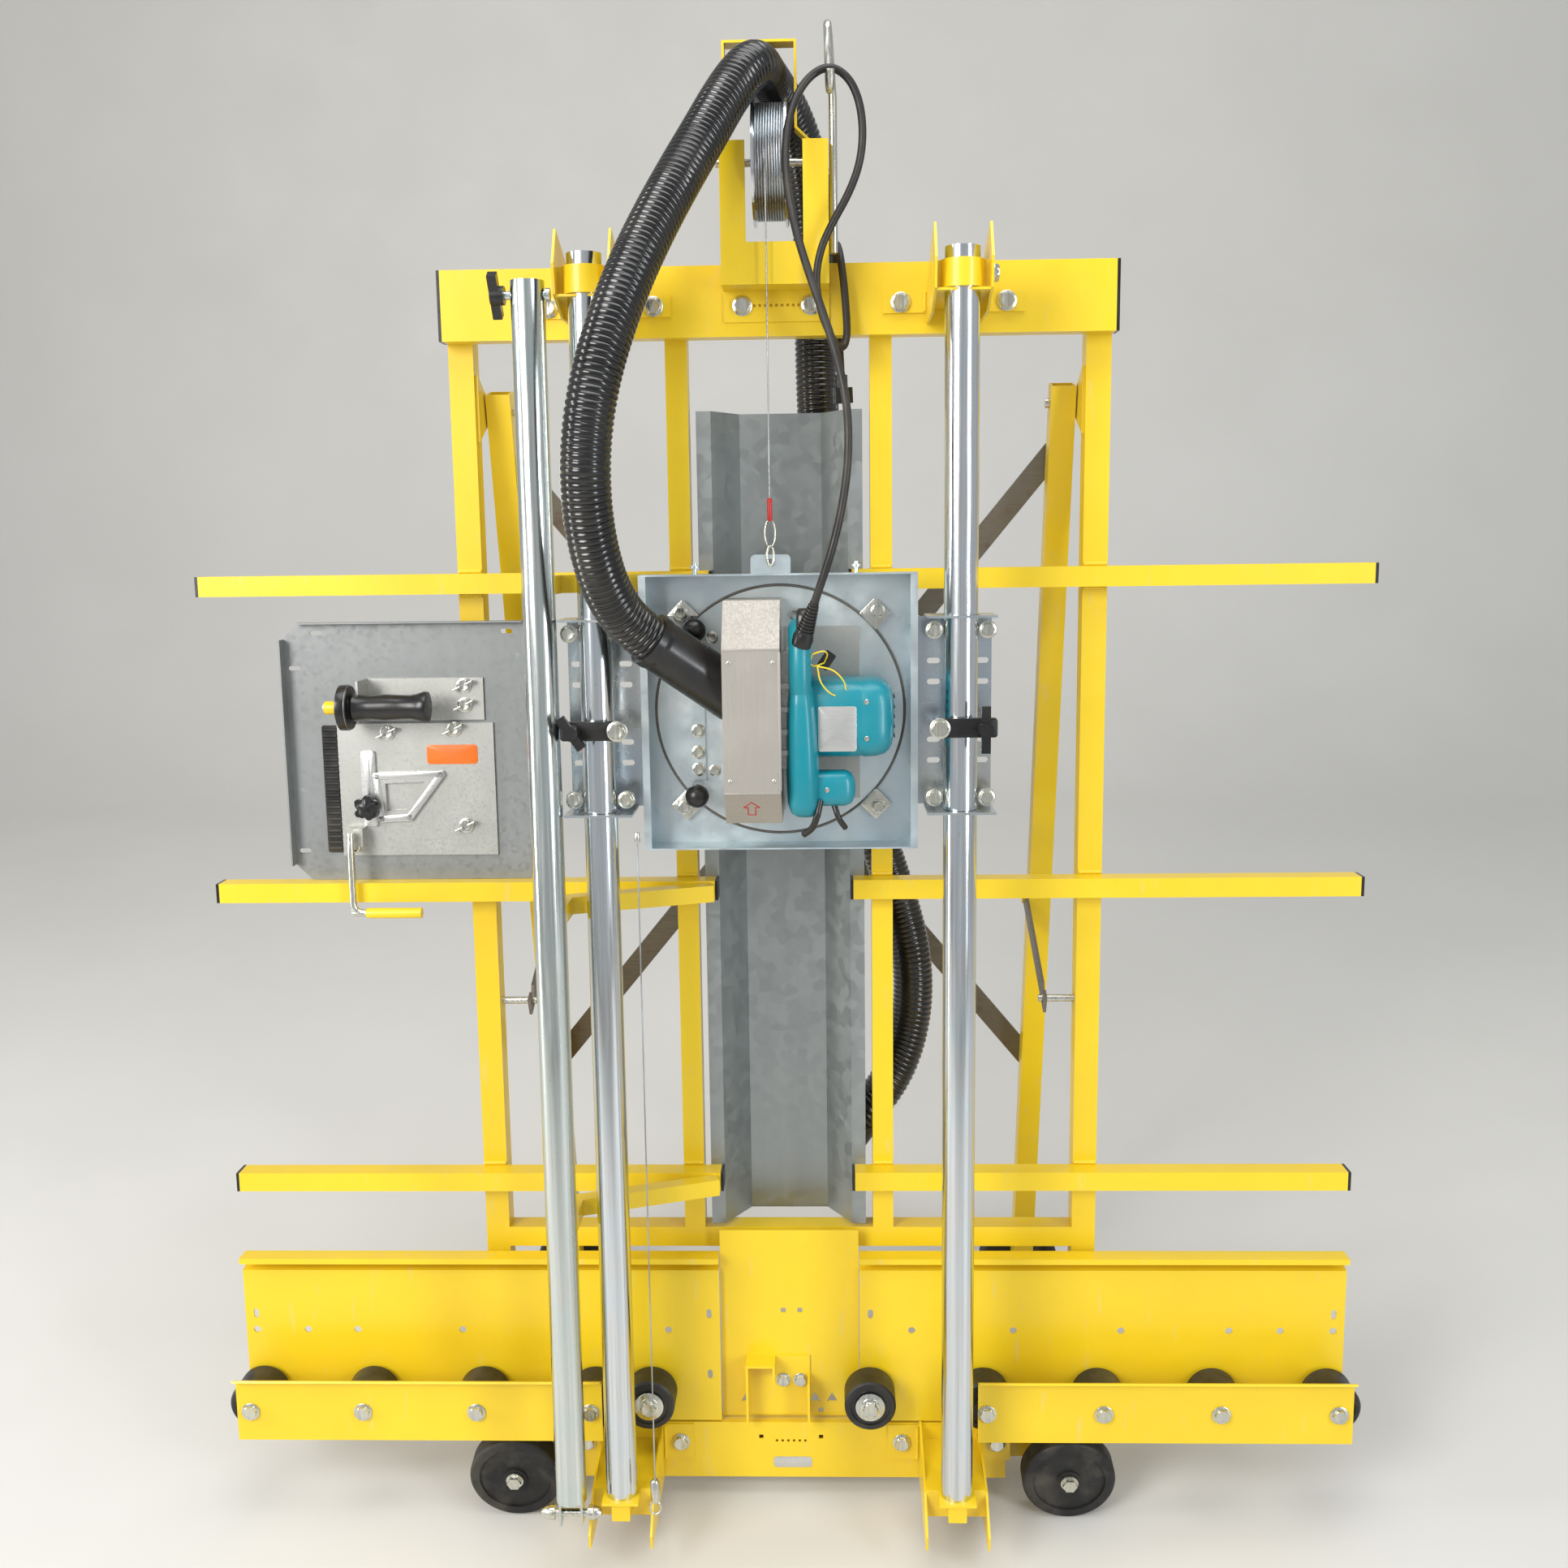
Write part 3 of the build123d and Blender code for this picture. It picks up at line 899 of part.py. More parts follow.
def tube_along(points, radius, name):
    """A soft tube: straight runs joined by arcs as large as each pair of runs allows."""
    spots = [spot(*p) for p in points]
    radii = []
    for before, corner, after in zip(spots, spots[1:], spots[2:]):
        turn = math.radians((corner - before).get_angle(after - corner))
        shorter = min((corner - before).length, (after - corner).length)
        radii.append(0.45 * shorter / math.tan(turn / 2))
    with BuildPart() as tube:
        with BuildLine() as path:
            FilletPolyline(*spots, radius=radii)
        with BuildSketch(Plane(origin=spots[0], z_dir=path.wire() % 0)) as section:
            Circle(radius)
        sweep(section.sketch, path=path.wire())
    length = path.wire().length
    print(f"{name}: length {length:.0f}, smallest radius {min(radii):.0f}, "
          f"volume ratio {tube.part.volume / (math.pi * radius ** 2 * length):.3f}")
    save(tube, name)


def make_soft():
    tube_along(FRONT_HOSE, HOSE_R, "front_hose")
    tube_along(REAR_HOSE, HOSE_R, "rear_hose")
    tube_along(SAW_CORD, CORD_R, "saw_cord")
    tail = spot(*SAW_CORD[-1])
    aim = tail - spot(*SAW_CORD[-2])
    with BuildPart() as cord_plug:
        with BuildSketch(Plane(origin=tail, z_dir=aim)):
            Circle(8)
        extrude(amount=16)
        with BuildSketch(Plane(origin=tail + aim.normalized() * 16, x_dir=ACROSS, z_dir=aim)):
            RectangleRounded(28, 20, 7)
        extrude(amount=20)
        with BuildSketch(Plane(origin=tail + aim.normalized() * 36, x_dir=ACROSS, z_dir=aim)):
            with Locations((-6.35, 0), (6.35, 0)):
                Rectangle(1.5, 6.3)
        extrude(amount=17)
    save(cord_plug, "cord_plug")


# ---------------------------------------------------------------- insert plate for a second tool
def make_insert():
    low = LEVELS[1] + BAR_HIGH / 2 + GAP
    high = low + INSERT_HIGH
    left, right = INSERT_X
    cut = 22.0
    face = INSERT_BACK + INSERT_SHEET
    with BuildPart(MACHINE) as insert_plate:
        slab(front(INSERT_BACK), [(left + cut, low), (right, low), (right, high - cut), (right - cut, high),
                                  (left + cut, high), (left, high - cut), (left, low + cut)], INSERT_SHEET)
        block((left, left + INSERT_SHEET), (low + cut, high - cut), (face, face + 18))
        block((left + cut, right - cut), (high - INSERT_SHEET, high), (face, face + 12))
        with BuildSketch(front(INSERT_BACK - 1)) as slots:
            with Locations((left + 45, high - 14), (right - 45, high - 14), (left + 14, low + 40),
                           (left + 14, high - 60)):
                SlotOverall(16, 6)
        extrude(slots.sketch, amount=INSERT_SHEET + 2, mode=Mode.SUBTRACT)
    save(insert_plate, "insert_plate")

    with BuildPart(MACHINE) as insert_fittings:
        block((-593, -384), (910, 1088), (face, face + 3))
        block((-552, -395), (1092, 1148), (face, face + 3))
        block((-552, -549), (1092, 1148), (face + 3, face + 46))
        rod(-512, 1114, face + 46, 15, 94, "x")
        rod(-566, 1114, face + 46, 29, 12, "x")
        rod(-583, 1114, face + 46, 8, 22, "x")
        slab(front(face + 3), [(-543, 1018), (-455, 1020), (-500, 962), (-538, 960)], 4)
        slab(front(face + 2), [(-531, 1008), (-478, 1010), (-505, 972), (-530, 971)], 6, Mode.SUBTRACT)
        block((-562, -544), (952, 1051), (face + 3, face + 7))
        hex_bolts(front(face + 3), [(-525, 1076), (-436, 1080), (-425, 950), (-420, 1138), (-420, 1112)], 4)
        block((-586, -560), (925, 950), (face + 3, face + 24))
    save(insert_fittings, "insert_fittings")

    with BuildPart(MACHINE) as insert_knob:
        knob_n = face + 7 + GAP
        rod(-553, 978, knob_n + 10, 11, 20)
        with BuildSketch(front(knob_n + 8)) as knob_star:
            with Locations((-553, 978)):
                with PolarLocations(12, 5):
                    Circle(5)
        extrude(knob_star.sketch, amount=12)
    save(insert_knob, "insert_knob")

    with BuildPart(MACHINE) as insert_lever:
        lever_n = face + 32
        rod(-573, 938, lever_n - 1.5, 5, 12)
        rod(-573, 890, lever_n + 4, 3.5, 104, "u")
        rod(-530, 838, lever_n + 4, 4.5, 90, "x")
    save(insert_lever, "insert_lever")


def main():
    make_frame()
    make_tubes()
    front_y, rear_y = make_rollers()
    make_fasteners(front_y)
    make_head()
    make_carriage()
    make_saw()
    make_stand(rear_y)
    make_soft()
    make_insert()


if __name__ == "__main__":
    main()
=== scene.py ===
"""Looks for a leaning panel saw: finishes, hoses, cord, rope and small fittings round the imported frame.

Places are given in machine directions in millimetres: across (X), up the slope (U) and outward to the
operator (N).
"""

import math

import bmesh
import bpy
import numpy as np
from mathutils import Matrix


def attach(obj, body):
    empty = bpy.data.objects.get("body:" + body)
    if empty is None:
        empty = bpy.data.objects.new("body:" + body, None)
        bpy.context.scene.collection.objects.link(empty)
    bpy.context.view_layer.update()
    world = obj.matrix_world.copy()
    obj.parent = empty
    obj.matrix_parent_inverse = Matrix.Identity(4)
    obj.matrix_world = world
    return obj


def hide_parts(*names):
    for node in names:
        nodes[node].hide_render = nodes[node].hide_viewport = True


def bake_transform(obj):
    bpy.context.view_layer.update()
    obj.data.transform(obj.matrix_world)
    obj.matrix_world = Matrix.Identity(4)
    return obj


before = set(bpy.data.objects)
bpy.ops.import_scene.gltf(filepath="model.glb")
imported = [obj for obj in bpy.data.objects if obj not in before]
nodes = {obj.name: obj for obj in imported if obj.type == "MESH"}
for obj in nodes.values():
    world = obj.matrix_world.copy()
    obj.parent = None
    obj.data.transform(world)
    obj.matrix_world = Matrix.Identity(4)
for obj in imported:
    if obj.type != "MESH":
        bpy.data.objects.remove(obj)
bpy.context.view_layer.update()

# ---------------------------------------------------------------- places
LEAN = math.radians(11.0)
ACROSS = np.array([1.0, 0.0, 0.0])
UP_SLOPE = np.array([0.0, math.sin(LEAN), math.cos(LEAN)])
OUTWARD = np.array([0.0, -math.cos(LEAN), math.sin(LEAN)])
ZERO = np.array([0.0, -164.2, 63.5 - 44.0 * math.cos(LEAN) - 30.0 * math.sin(LEAN)])
X, U, N = (1, 0, 0), (0, 1, 0), (0, 0, 1)

TUBE_X = 221.0          # guide tubes, each side of the middle
CARRIAGE_U = 1110.0     # middle of the carriage and turntable
ROLLER_U = 152.0        # base rollers
DRUM_U, DRUM_N = 1784.0, -6.0
WIRE_X, WIRE_N = -174.0, 154.0
HANDLE_U, HANDLE_N = 1114.0, 22.0
INSERT_FACE = -24.0


def spot(points):
    """Row-frame metres of machine millimetres: the origin plus each coordinate along its own direction."""
    p = np.asarray(points, float)
    return (ZERO + p[..., 0:1] * ACROSS + p[..., 1:2] * UP_SLOPE + p[..., 2:3] * OUTWARD) / 1000.0


def machine(points):
    """Machine millimetres of row-frame metres."""
    p = np.asarray(points, float) * 1000.0 - ZERO
    return np.stack([p @ ACROSS, p @ UP_SLOPE, p @ OUTWARD], -1)


def unit(v):
    """Vectors of the same directions, each of length one."""
    v = np.asarray(v, float)
    return v / np.maximum(np.linalg.norm(v, axis=-1, keepdims=True), 1e-12)


# ---------------------------------------------------------------- grids, in machine millimetres
def turned(base, axis, profile, around=36, sides=0, lobes=(0, 0.0)):
    """A profile of (along, radius) turned about an axis. The radius is cut to flats where sides is given,
    r = min(profile, R cos(pi/s) / cos(angle within one side)), and swells by lobes[1] cos(lobes[0] angle)."""
    along, radius = np.array(profile, float).T
    axis = unit(axis)
    helper = np.array([1.0, 0, 0]) if abs(axis[0]) < 0.9 else np.array([0, 1.0, 0])
    a = unit(np.cross(axis, helper))
    b = np.cross(axis, a)
    turn = np.linspace(0, 2 * np.pi, around, endpoint=False)
    spread = np.repeat(radius[:, None], around, axis=1)
    if sides:
        flat = np.cos(np.pi / sides) / np.cos((turn + np.pi / sides) % (2 * np.pi / sides) - np.pi / sides)
        spread = np.minimum(spread, radius.max() * flat)
    if lobes[0]:
        spread = spread * (1 + lobes[1] * np.cos(lobes[0] * turn))
    ring = np.cos(turn)[:, None] * a + np.sin(turn)[:, None] * b
    return np.asarray(base, float) + along[:, None, None] * axis + spread[..., None] * ring


def carried(line, radius, around=16, side=X, ends=True):
    """A round section carried along a line. Each ring stands square to the line, its first direction the part
    of side that is square to the line; radius is one number or one per ring."""
    line = np.asarray(line, float)
    along = unit(np.gradient(line, axis=0))
    first = np.asarray(side, float) - (along @ np.asarray(side, float))[:, None] * along
    first = unit(first)
    second = np.cross(along, first)
    turn = np.linspace(0, 2 * np.pi, around, endpoint=False)
    ring = np.cos(turn)[None, :, None] * first[:, None] + np.sin(turn)[None, :, None] * second[:, None]
    radius = np.broadcast_to(np.asarray(radius, float), (len(line),))
    grid = line[:, None] + radius[:, None, None] * ring
    if ends:
        start = np.repeat(line[:1, None], around, axis=1)
        finish_row = np.repeat(line[-1:, None], around, axis=1)
        grid = np.concatenate([start, grid, finish_row])
    return grid


def flowing(points, steps=10):
    """A smooth line through points: on each stretch a cubic whose ends lean along the neighbouring points."""
    p = np.asarray(points, float)
    p = np.vstack([2 * p[0] - p[1], p, 2 * p[-1] - p[-2]])
    t = np.linspace(0, 1, steps, endpoint=False)[None, :, None]
    a, b, c, d = (p[i:len(p) - 3 + i, None] for i in range(4))
    line = 0.5 * (2 * b + (c - a) * t + (2 * a - 5 * b + 4 * c - d) * t ** 2
                  + (3 * b - a - 3 * c + d) * t ** 3)
    return np.vstack([line.reshape(-1, 3), p[-2:-1]])


def plate(centre, half, high, corner=3.0, edge=0.6, turn=0.0, axes=(X, U, N)):
    """A slab standing on centre, rising high along its third axis, with rounded corners and eased edges.
    Its outline is four quarter arcs; rings step in by edge at the bottom and the top and close on the
    middle."""
    half = np.asarray(half, float)
    corner = min(corner, half.min() * 0.98)
    quarter = np.linspace(0, np.pi / 2, 7)
    angle = (np.arange(4)[:, None] * np.pi / 2 + quarter).ravel()
    sign = np.repeat(np.array([[1, 1], [-1, 1], [-1, -1], [1, -1]], float), len(quarter), axis=0)
    arc = np.stack([np.cos(angle), np.sin(angle)], -1)
    rows = []
    for inset, rise, scale in ((edge, 0, 0), (edge, 0, 1), (0, edge, 1), (0, high - edge, 1),
                               (0.3 * edge, high - 0.3 * edge, 1), (edge, high, 1), (edge, high, 0)):
        flat = (sign * (half - corner) + max(corner - inset, 0.05) * arc) * scale
        rows.append(np.column_stack([flat, np.full(len(flat), float(rise))]))
    grid = np.array(rows)
    c, s = math.cos(math.radians(turn)), math.sin(math.radians(turn))
    ex, ey, ez = (np.asarray(a, float) for a in axes)
    x, y = c * grid[..., 0] - s * grid[..., 1], s * grid[..., 0] + c * grid[..., 1]
    return np.asarray(centre, float) + x[..., None] * ex + y[..., None] * ey + grid[..., 2:3] * ez


def lofted(profile, middle, power=3.6, around=56):
    """A shell run across X with a softened square section: at each step (x, half along U, half along N), the
    ring is r(angle) = (|cos|^p + |sin|^p)^(-1/p) times each half size."""
    x, hu, hn = np.array(profile, float).T
    turn = np.linspace(0, 2 * np.pi, around, endpoint=False)
    r = (np.abs(np.cos(turn)) ** power + np.abs(np.sin(turn)) ** power) ** (-1 / power)
    grid = np.zeros((len(x), around, 3))
    grid[..., 0] = x[:, None]
    grid[..., 1] = middle[0] + hu[:, None] * (r * np.cos(turn))
    grid[..., 2] = middle[1] + hn[:, None] * (r * np.sin(turn))
    return grid


def bolt(base, axis, r):
    """A washer and a chamfered hexagon head with a shallow dished top."""
    washer = turned(base, axis, [(-0.2, 0), (-0.2, 2.5 * r), (0.36 * r, 2.5 * r), (0.44 * r, 2.38 * r),
                                 (0.44 * r, 0)], 40)
    head = turned(base, axis, [(0.3 * r, 0), (0.3 * r, 2.03 * r), (1.3 * r, 2.03 * r), (1.5 * r, 1.72 * r),
                               (1.5 * r, 1.3 * r), (1.46 * r, 1.15 * r), (1.46 * r, 0)], 36, 6)
    return [washer, head]


def ball(base, axis, r, stretch=1.0, around=40):
    """A ball of radius r whose lowest point is at base, drawn out along its axis by stretch."""
    turn = np.linspace(0, np.pi, 22)
    return turned(base, axis, np.column_stack([r * stretch * (1 - np.cos(turn)), r * np.sin(turn)]), around)


def build(name, grids, finish, body=None, crease=38.0):
    """One object from grids whose columns close on themselves; rows of one point close the ends."""
    points, faces, base = [], [], 0
    for grid in grids:
        rows, columns = grid.shape[:2]
        index = base + np.arange(rows * columns).reshape(rows, columns)
        beside = np.roll(index, -1, axis=1)
        faces.append(np.stack([index[:-1], beside[:-1], beside[1:], index[1:]], -1).reshape(-1, 4))
        points.append(grid.reshape(-1, 3))
        base += rows * columns
    mesh = bpy.data.meshes.new(name)
    mesh.from_pydata(spot(np.concatenate(points)).tolist(), [], np.concatenate(faces).tolist())
    work = bmesh.new()
    work.from_mesh(mesh)
    bmesh.ops.remove_doubles(work, verts=work.verts, dist=2e-6)
    bmesh.ops.dissolve_degenerate(work, dist=1e-7, edges=work.edges)
    bmesh.ops.recalc_face_normals(work, faces=work.faces)
    work.to_mesh(mesh)
    work.free()
    mesh.shade_smooth()
    mesh.set_sharp_from_angle(angle=math.radians(crease))
    mesh.materials.append(finish)
    thing = bpy.data.objects.new(name, mesh)
    bpy.context.scene.collection.objects.link(thing)
    if body:
        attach(thing, body)
    return thing


# ---------------------------------------------------------------- finishes
def tone(r, g, b):
    """A display colour, as linear light."""
    return tuple((c / 12.92 if c <= 0.04045 else ((c + 0.055) / 1.055) ** 2.4) for c in (r, g, b)) + (1.0,)


class Finish:
    """A procedural finish on object coordinates turned to the slope, so that streaks run up the machine."""

    def __init__(self, name, colour, rough, metal=0.0, coat=0.0):
        self.material = bpy.data.materials.new(name)
        self.material.use_nodes = True
        self.tree = self.material.node_tree
        self.shader = self.tree.nodes["Principled BSDF"]
        self.place = self.add("ShaderNodeTexCoord").outputs["Object"]
        self.colour, self.rough = None, None
        self.shader.inputs["Base Color"].default_value = colour
        self.shader.inputs["Roughness"].default_value = rough
        self.shader.inputs["Metallic"].default_value = metal
        self.shader.inputs["Coat Weight"].default_value = coat
        self.shader.inputs["Coat Roughness"].default_value = 0.12
        self.base_colour = colour
        self.normal = None

    def add(self, kind, **settings):
        """A new shader node with its settings."""
        node = self.tree.nodes.new(kind)
        for key, value in settings.items():
            setattr(node, key, value)
        return node

    def link(self, a, b):
        """Joins an output to an input."""
        self.tree.links.new(a, b)

    def scaled(self, size):
        """Coordinates in which one unit is size metres across, outward and up the slope."""
        node = self.add("ShaderNodeMapping", vector_type="TEXTURE")
        node.inputs["Rotation"].default_value = (-LEAN, 0, 0)
        node.inputs["Scale"].default_value = (size, size, size) if np.isscalar(size) else size
        self.link(self.place, node.inputs["Vector"])
        return node.outputs["Vector"]

    def noise(self, size, detail=4.0, rough=0.55, twist=0.0):
        """Cloudy noise whose grain is size metres."""
        node = self.add("ShaderNodeTexNoise")
        node.inputs["Scale"].default_value = 1.0
        node.inputs["Detail"].default_value = detail
        node.inputs["Roughness"].default_value = rough
        node.inputs["Distortion"].default_value = twist
        self.link(self.scaled(size), node.inputs["Vector"])
        return node.outputs["Fac"]

    def cells(self, size):
        """Patches of random colour, size metres across."""
        node = self.add("ShaderNodeTexVoronoi", feature="F1")
        node.inputs["Scale"].default_value = 1.0
        self.link(self.scaled(size), node.inputs["Vector"])
        return node.outputs["Color"]

    def span(self, value, low, high, out_low=0.0, out_high=1.0):
        """A value's stretch from low to high, laid out from out_low to out_high."""
        node = self.add("ShaderNodeMapRange")
        for key, number in (("From Min", low), ("From Max", high), ("To Min", out_low), ("To Max", out_high)):
            node.inputs[key].default_value = number
        self.link(value, node.inputs["Value"])
        return node.outputs["Result"]

    def blend(self, amount, a, b):
        """A colour between a and b, by amount."""
        node = self.add("ShaderNodeMix", data_type="RGBA", blend_type="MIX")
        self.link(amount, node.inputs[0])
        for socket, value in ((node.inputs[6], a), (node.inputs[7], b)):
            if isinstance(value, tuple):
                socket.default_value = value
            else:
                self.link(value, socket)
        return node.outputs[2]

    def paint(self, amount, colour):
        """Lays a colour over what is there so far, by amount."""
        under = self.base_colour if self.colour is None else self.colour
        self.colour = self.blend(amount, under, colour)
        return self

    def dull(self, value, low, high, out_low, out_high):
        """Sets roughness from a value."""
        self.rough = self.span(value, low, high, out_low, out_high)
        return self

    def relief(self, height, depth, strength=1.0):
        """Adds a bump of depth metres from a height."""
        node = self.add("ShaderNodeBump")
        node.inputs["Strength"].default_value = strength
        node.inputs["Distance"].default_value = depth
        self.link(height, node.inputs["Height"])
        if self.normal is not None:
            self.link(self.normal, node.inputs["Normal"])
        self.normal = node.outputs["Normal"]
        return self

    def done(self):
        """Joins colour, roughness and relief to the shader."""
        if self.colour is not None:
            self.link(self.colour, self.shader.inputs["Base Color"])
        if self.rough is not None:
            self.link(self.rough, self.shader.inputs["Roughness"])
        if self.normal is not None:
            self.link(self.normal, self.shader.inputs["Normal"])
        return self.material


def shade(colour, factor):
    """A colour made darker or lighter by a factor."""
    return tuple(min(1.0, c * factor) for c in colour[:3]) + (1.0,)


def powder(name, colour):
    """Semi-gloss powder coat: slight mottle, fine orange peel, thin scuffs and a little dust."""
    f = Finish(name, colour, 0.42, coat=0.25)
    f.paint(f.span(f.noise(0.16), 0.35, 0.7, 0.0, 0.5), shade(colour, 0.86))
    f.paint(f.span(f.noise((0.012, 0.012, 0.09), 5), 0.63, 0.78, 0.0, 0.4), tone(0.78, 0.74, 0.6))
    f.paint(f.span(f.noise(0.006, 6, 0.7), 0.71, 0.76, 0.0, 0.55), tone(0.36, 0.31, 0.2))
    f.dull(f.noise(0.05), 0.3, 0.7, 0.34, 0.5)
    f.relief(f.noise(0.0035, 2), 0.00012, 0.5)
    return f.relief(f.noise(0.05, 3), 0.0005, 0.25).done()


def drawn_zinc(name, colour, rough=0.13, tint=None):
    """Bright plated drawn metal: long streaks up the slope, faint clouding and fine hairlines."""
    f = Finish(name, colour, rough, 1.0)
    f.paint(f.span(f.noise((0.004, 0.004, 0.5), 4), 0.3, 0.72), shade(colour, 0.72))
    f.paint(f.span(f.noise(0.06, 3), 0.4, 0.75, 0.0, 0.6), tint or tone(0.8, 0.86, 0.9))
    f.paint(f.span(f.noise(0.008, 5, 0.7), 0.66, 0.76, 0.0, 0.45), tone(0.5, 0.5, 0.48))
    f.dull(f.noise((0.003, 0.003, 0.12), 4), 0.3, 0.7, rough * 0.7, rough * 1.9)
    return f.relief(f.noise((0.0012, 0.0012, 0.06), 2), 0.00005, 0.4).done()


def passivated(name, colour, warm, rough=0.28):
    """Zinc sheet with the soft blue and straw clouds of passivation, smudges and fine scratches."""
    f = Finish(name, colour, rough, 0.9)
    f.paint(f.span(f.noise(0.16, 3, 0.5, 0.8), 0.4, 0.72, 0.0, 0.6), warm)
    f.paint(f.span(f.noise(0.05, 5, 0.6, 0.4), 0.5, 0.85, 0.0, 0.3), shade(colour, 0.75))
    f.paint(f.span(f.noise((0.03, 0.03, 0.002), 4), 0.64, 0.72, 0.0, 0.35), tone(0.9, 0.91, 0.92))
    f.dull(f.noise(0.03, 5), 0.3, 0.7, rough * 0.75, rough * 1.5)
    return f.relief(f.noise(0.004, 3), 0.00006, 0.5).done()


def galvanised(name, colour, rough=0.42, size=0.02):
    """Dull zinc coat: crystal patches of differing grey, run marks down the sheet and white bloom."""
    f = Finish(name, colour, rough, 0.75)
    patches = f.add("ShaderNodeRGBToBW")
    f.link(f.cells(size), patches.inputs["Color"])
    f.paint(f.span(patches.outputs["Val"], 0.2, 0.8, 0.0, 0.4), shade(colour, 1.16))
    f.paint(f.span(f.noise((0.03, 0.03, 0.5), 3), 0.4, 0.8, 0.0, 0.35), shade(colour, 0.78))
    f.paint(f.span(f.noise(0.018, 6, 0.7), 0.64, 0.8, 0.0, 0.3), tone(0.82, 0.83, 0.83))
    f.rough = f.span(patches.outputs["Val"], 0.1, 0.9, rough * 0.8, rough * 1.3)
    return f.relief(f.noise(0.01, 4), 0.0002, 0.4).done()


def moulded(name, colour, rough=0.4, grain=0.0012, depth=0.00008, dust=0.25, coat=0.0):
    """Moulded plastic or rubber: fine spark grain, dust in patches, small scuffs."""
    f = Finish(name, colour, rough, coat=coat)
    f.paint(f.span(f.noise(0.06, 5), 0.45, 0.8, 0.0, dust), tone(0.46, 0.43, 0.38))
    f.paint(f.span(f.noise(0.005, 5, 0.7), 0.68, 0.76, 0.0, 0.35), shade(colour, 2.6))
    f.dull(f.noise(0.025, 4), 0.3, 0.7, rough * 0.8, rough * 1.3)
    return f.relief(f.noise(grain, 2), depth, 0.6).done()


def brushed(name, colour, rough=0.34, metal=0.9, size=(0.05, 0.05, 0.001), rust=0.0,
            rust_colour=(0.4, 0.2, 0.1)):
    """Brushed or ground metal: fine lines along one way, clouding, and rust freckles where rust is set."""
    f = Finish(name, colour, rough, metal)
    lines = f.noise(size, 3, 0.6)
    f.paint(f.span(lines, 0.3, 0.7, 0.0, 0.5), shade(colour, 0.74))
    f.paint(f.span(f.noise(0.07, 4), 0.45, 0.75, 0.0, 0.5), shade(colour, 1.15))
    if rust:
        f.paint(f.span(f.noise(0.03, 7, 0.72), 0.55, 0.75, 0.0, rust), tone(*rust_colour))
    f.dull(lines, 0.3, 0.7, rough * 0.8, rough * 1.35)
    return f.relief(lines, 0.00004, 0.5).done()


YELLOW = tone(0.91, 0.775, 0.11)
yellow = powder("yellow powder coat", YELLOW)
zinc_tube = drawn_zinc("zinc tube", tone(0.89, 0.9, 0.91))
hold_zinc = drawn_zinc("hold-down zinc", tone(0.86, 0.88, 0.87), 0.16, tone(0.76, 0.83, 0.83))
fastener = drawn_zinc("zinc fastener", tone(0.86, 0.86, 0.83), 0.2, tone(0.84, 0.83, 0.74))
rope_steel = drawn_zinc("rope steel", tone(0.66, 0.66, 0.66), 0.3)
sheet_grey = galvanised("galvanised sheet", tone(0.6, 0.62, 0.62), 0.4, 0.014)
insert_grey = galvanised("insert sheet", tone(0.56, 0.57, 0.57), 0.5, 0.006)
pan_zinc = passivated("pan zinc", tone(0.8, 0.855, 0.88), tone(0.86, 0.87, 0.85), 0.34)
table_zinc = passivated("turntable zinc", tone(0.83, 0.88, 0.9), tone(0.88, 0.88, 0.84), 0.32)
bracket_zinc = passivated("bracket zinc", tone(0.72, 0.76, 0.79), tone(0.84, 0.82, 0.76), 0.24)
black = moulded("black plastic", tone(0.07, 0.07, 0.075), 0.3, dust=0.1, coat=0.15)
roller_black = moulded("roller plastic", tone(0.09, 0.09, 0.09), 0.42, 0.002, 0.0001, 0.3)
rubber = moulded("black rubber", tone(0.085, 0.085, 0.085), 0.62, 0.003, 0.0002, 0.45)
hose_black = moulded("hose plastic", tone(0.06, 0.06, 0.065), 0.2, 0.004, 0.00005, 0.12, 0.3)
cord_black = moulded("cord rubber", tone(0.1, 0.085, 0.08), 0.45, 0.002, 0.00005, 0.2)
teal = moulded("teal housing", tone(0.0, 0.5, 0.56), 0.36, 0.0012, 0.00008, 0.1, 0.2)
raw = brushed("raw flat bar", tone(0.5, 0.48, 0.45), 0.45, 0.8, (0.04, 0.003, 0.003), 0.5, (0.38, 0.22, 0.12))
guard = brushed("guard sheet", tone(0.66, 0.64, 0.61), 0.45, 0.45, (0.002, 0.002, 0.09))
blade = brushed("blade steel", tone(0.68, 0.69, 0.7), 0.25, 1.0, (0.002, 0.002, 0.002))
cast = brushed("cast aluminium", tone(0.74, 0.74, 0.72), 0.42, 0.85, (0.004, 0.004, 0.004))
red = moulded("red sleeve", tone(0.72, 0.08, 0.07), 0.35)
orange = moulded("orange label", tone(0.95, 0.45, 0.08), 0.3)
string = moulded("yellow string", tone(0.92, 0.82, 0.2), 0.7, 0.001, 0.0002, 0.1)
silver = brushed("silver label", tone(0.84, 0.84, 0.83), 0.3, 0.8, (0.02, 0.001, 0.001))

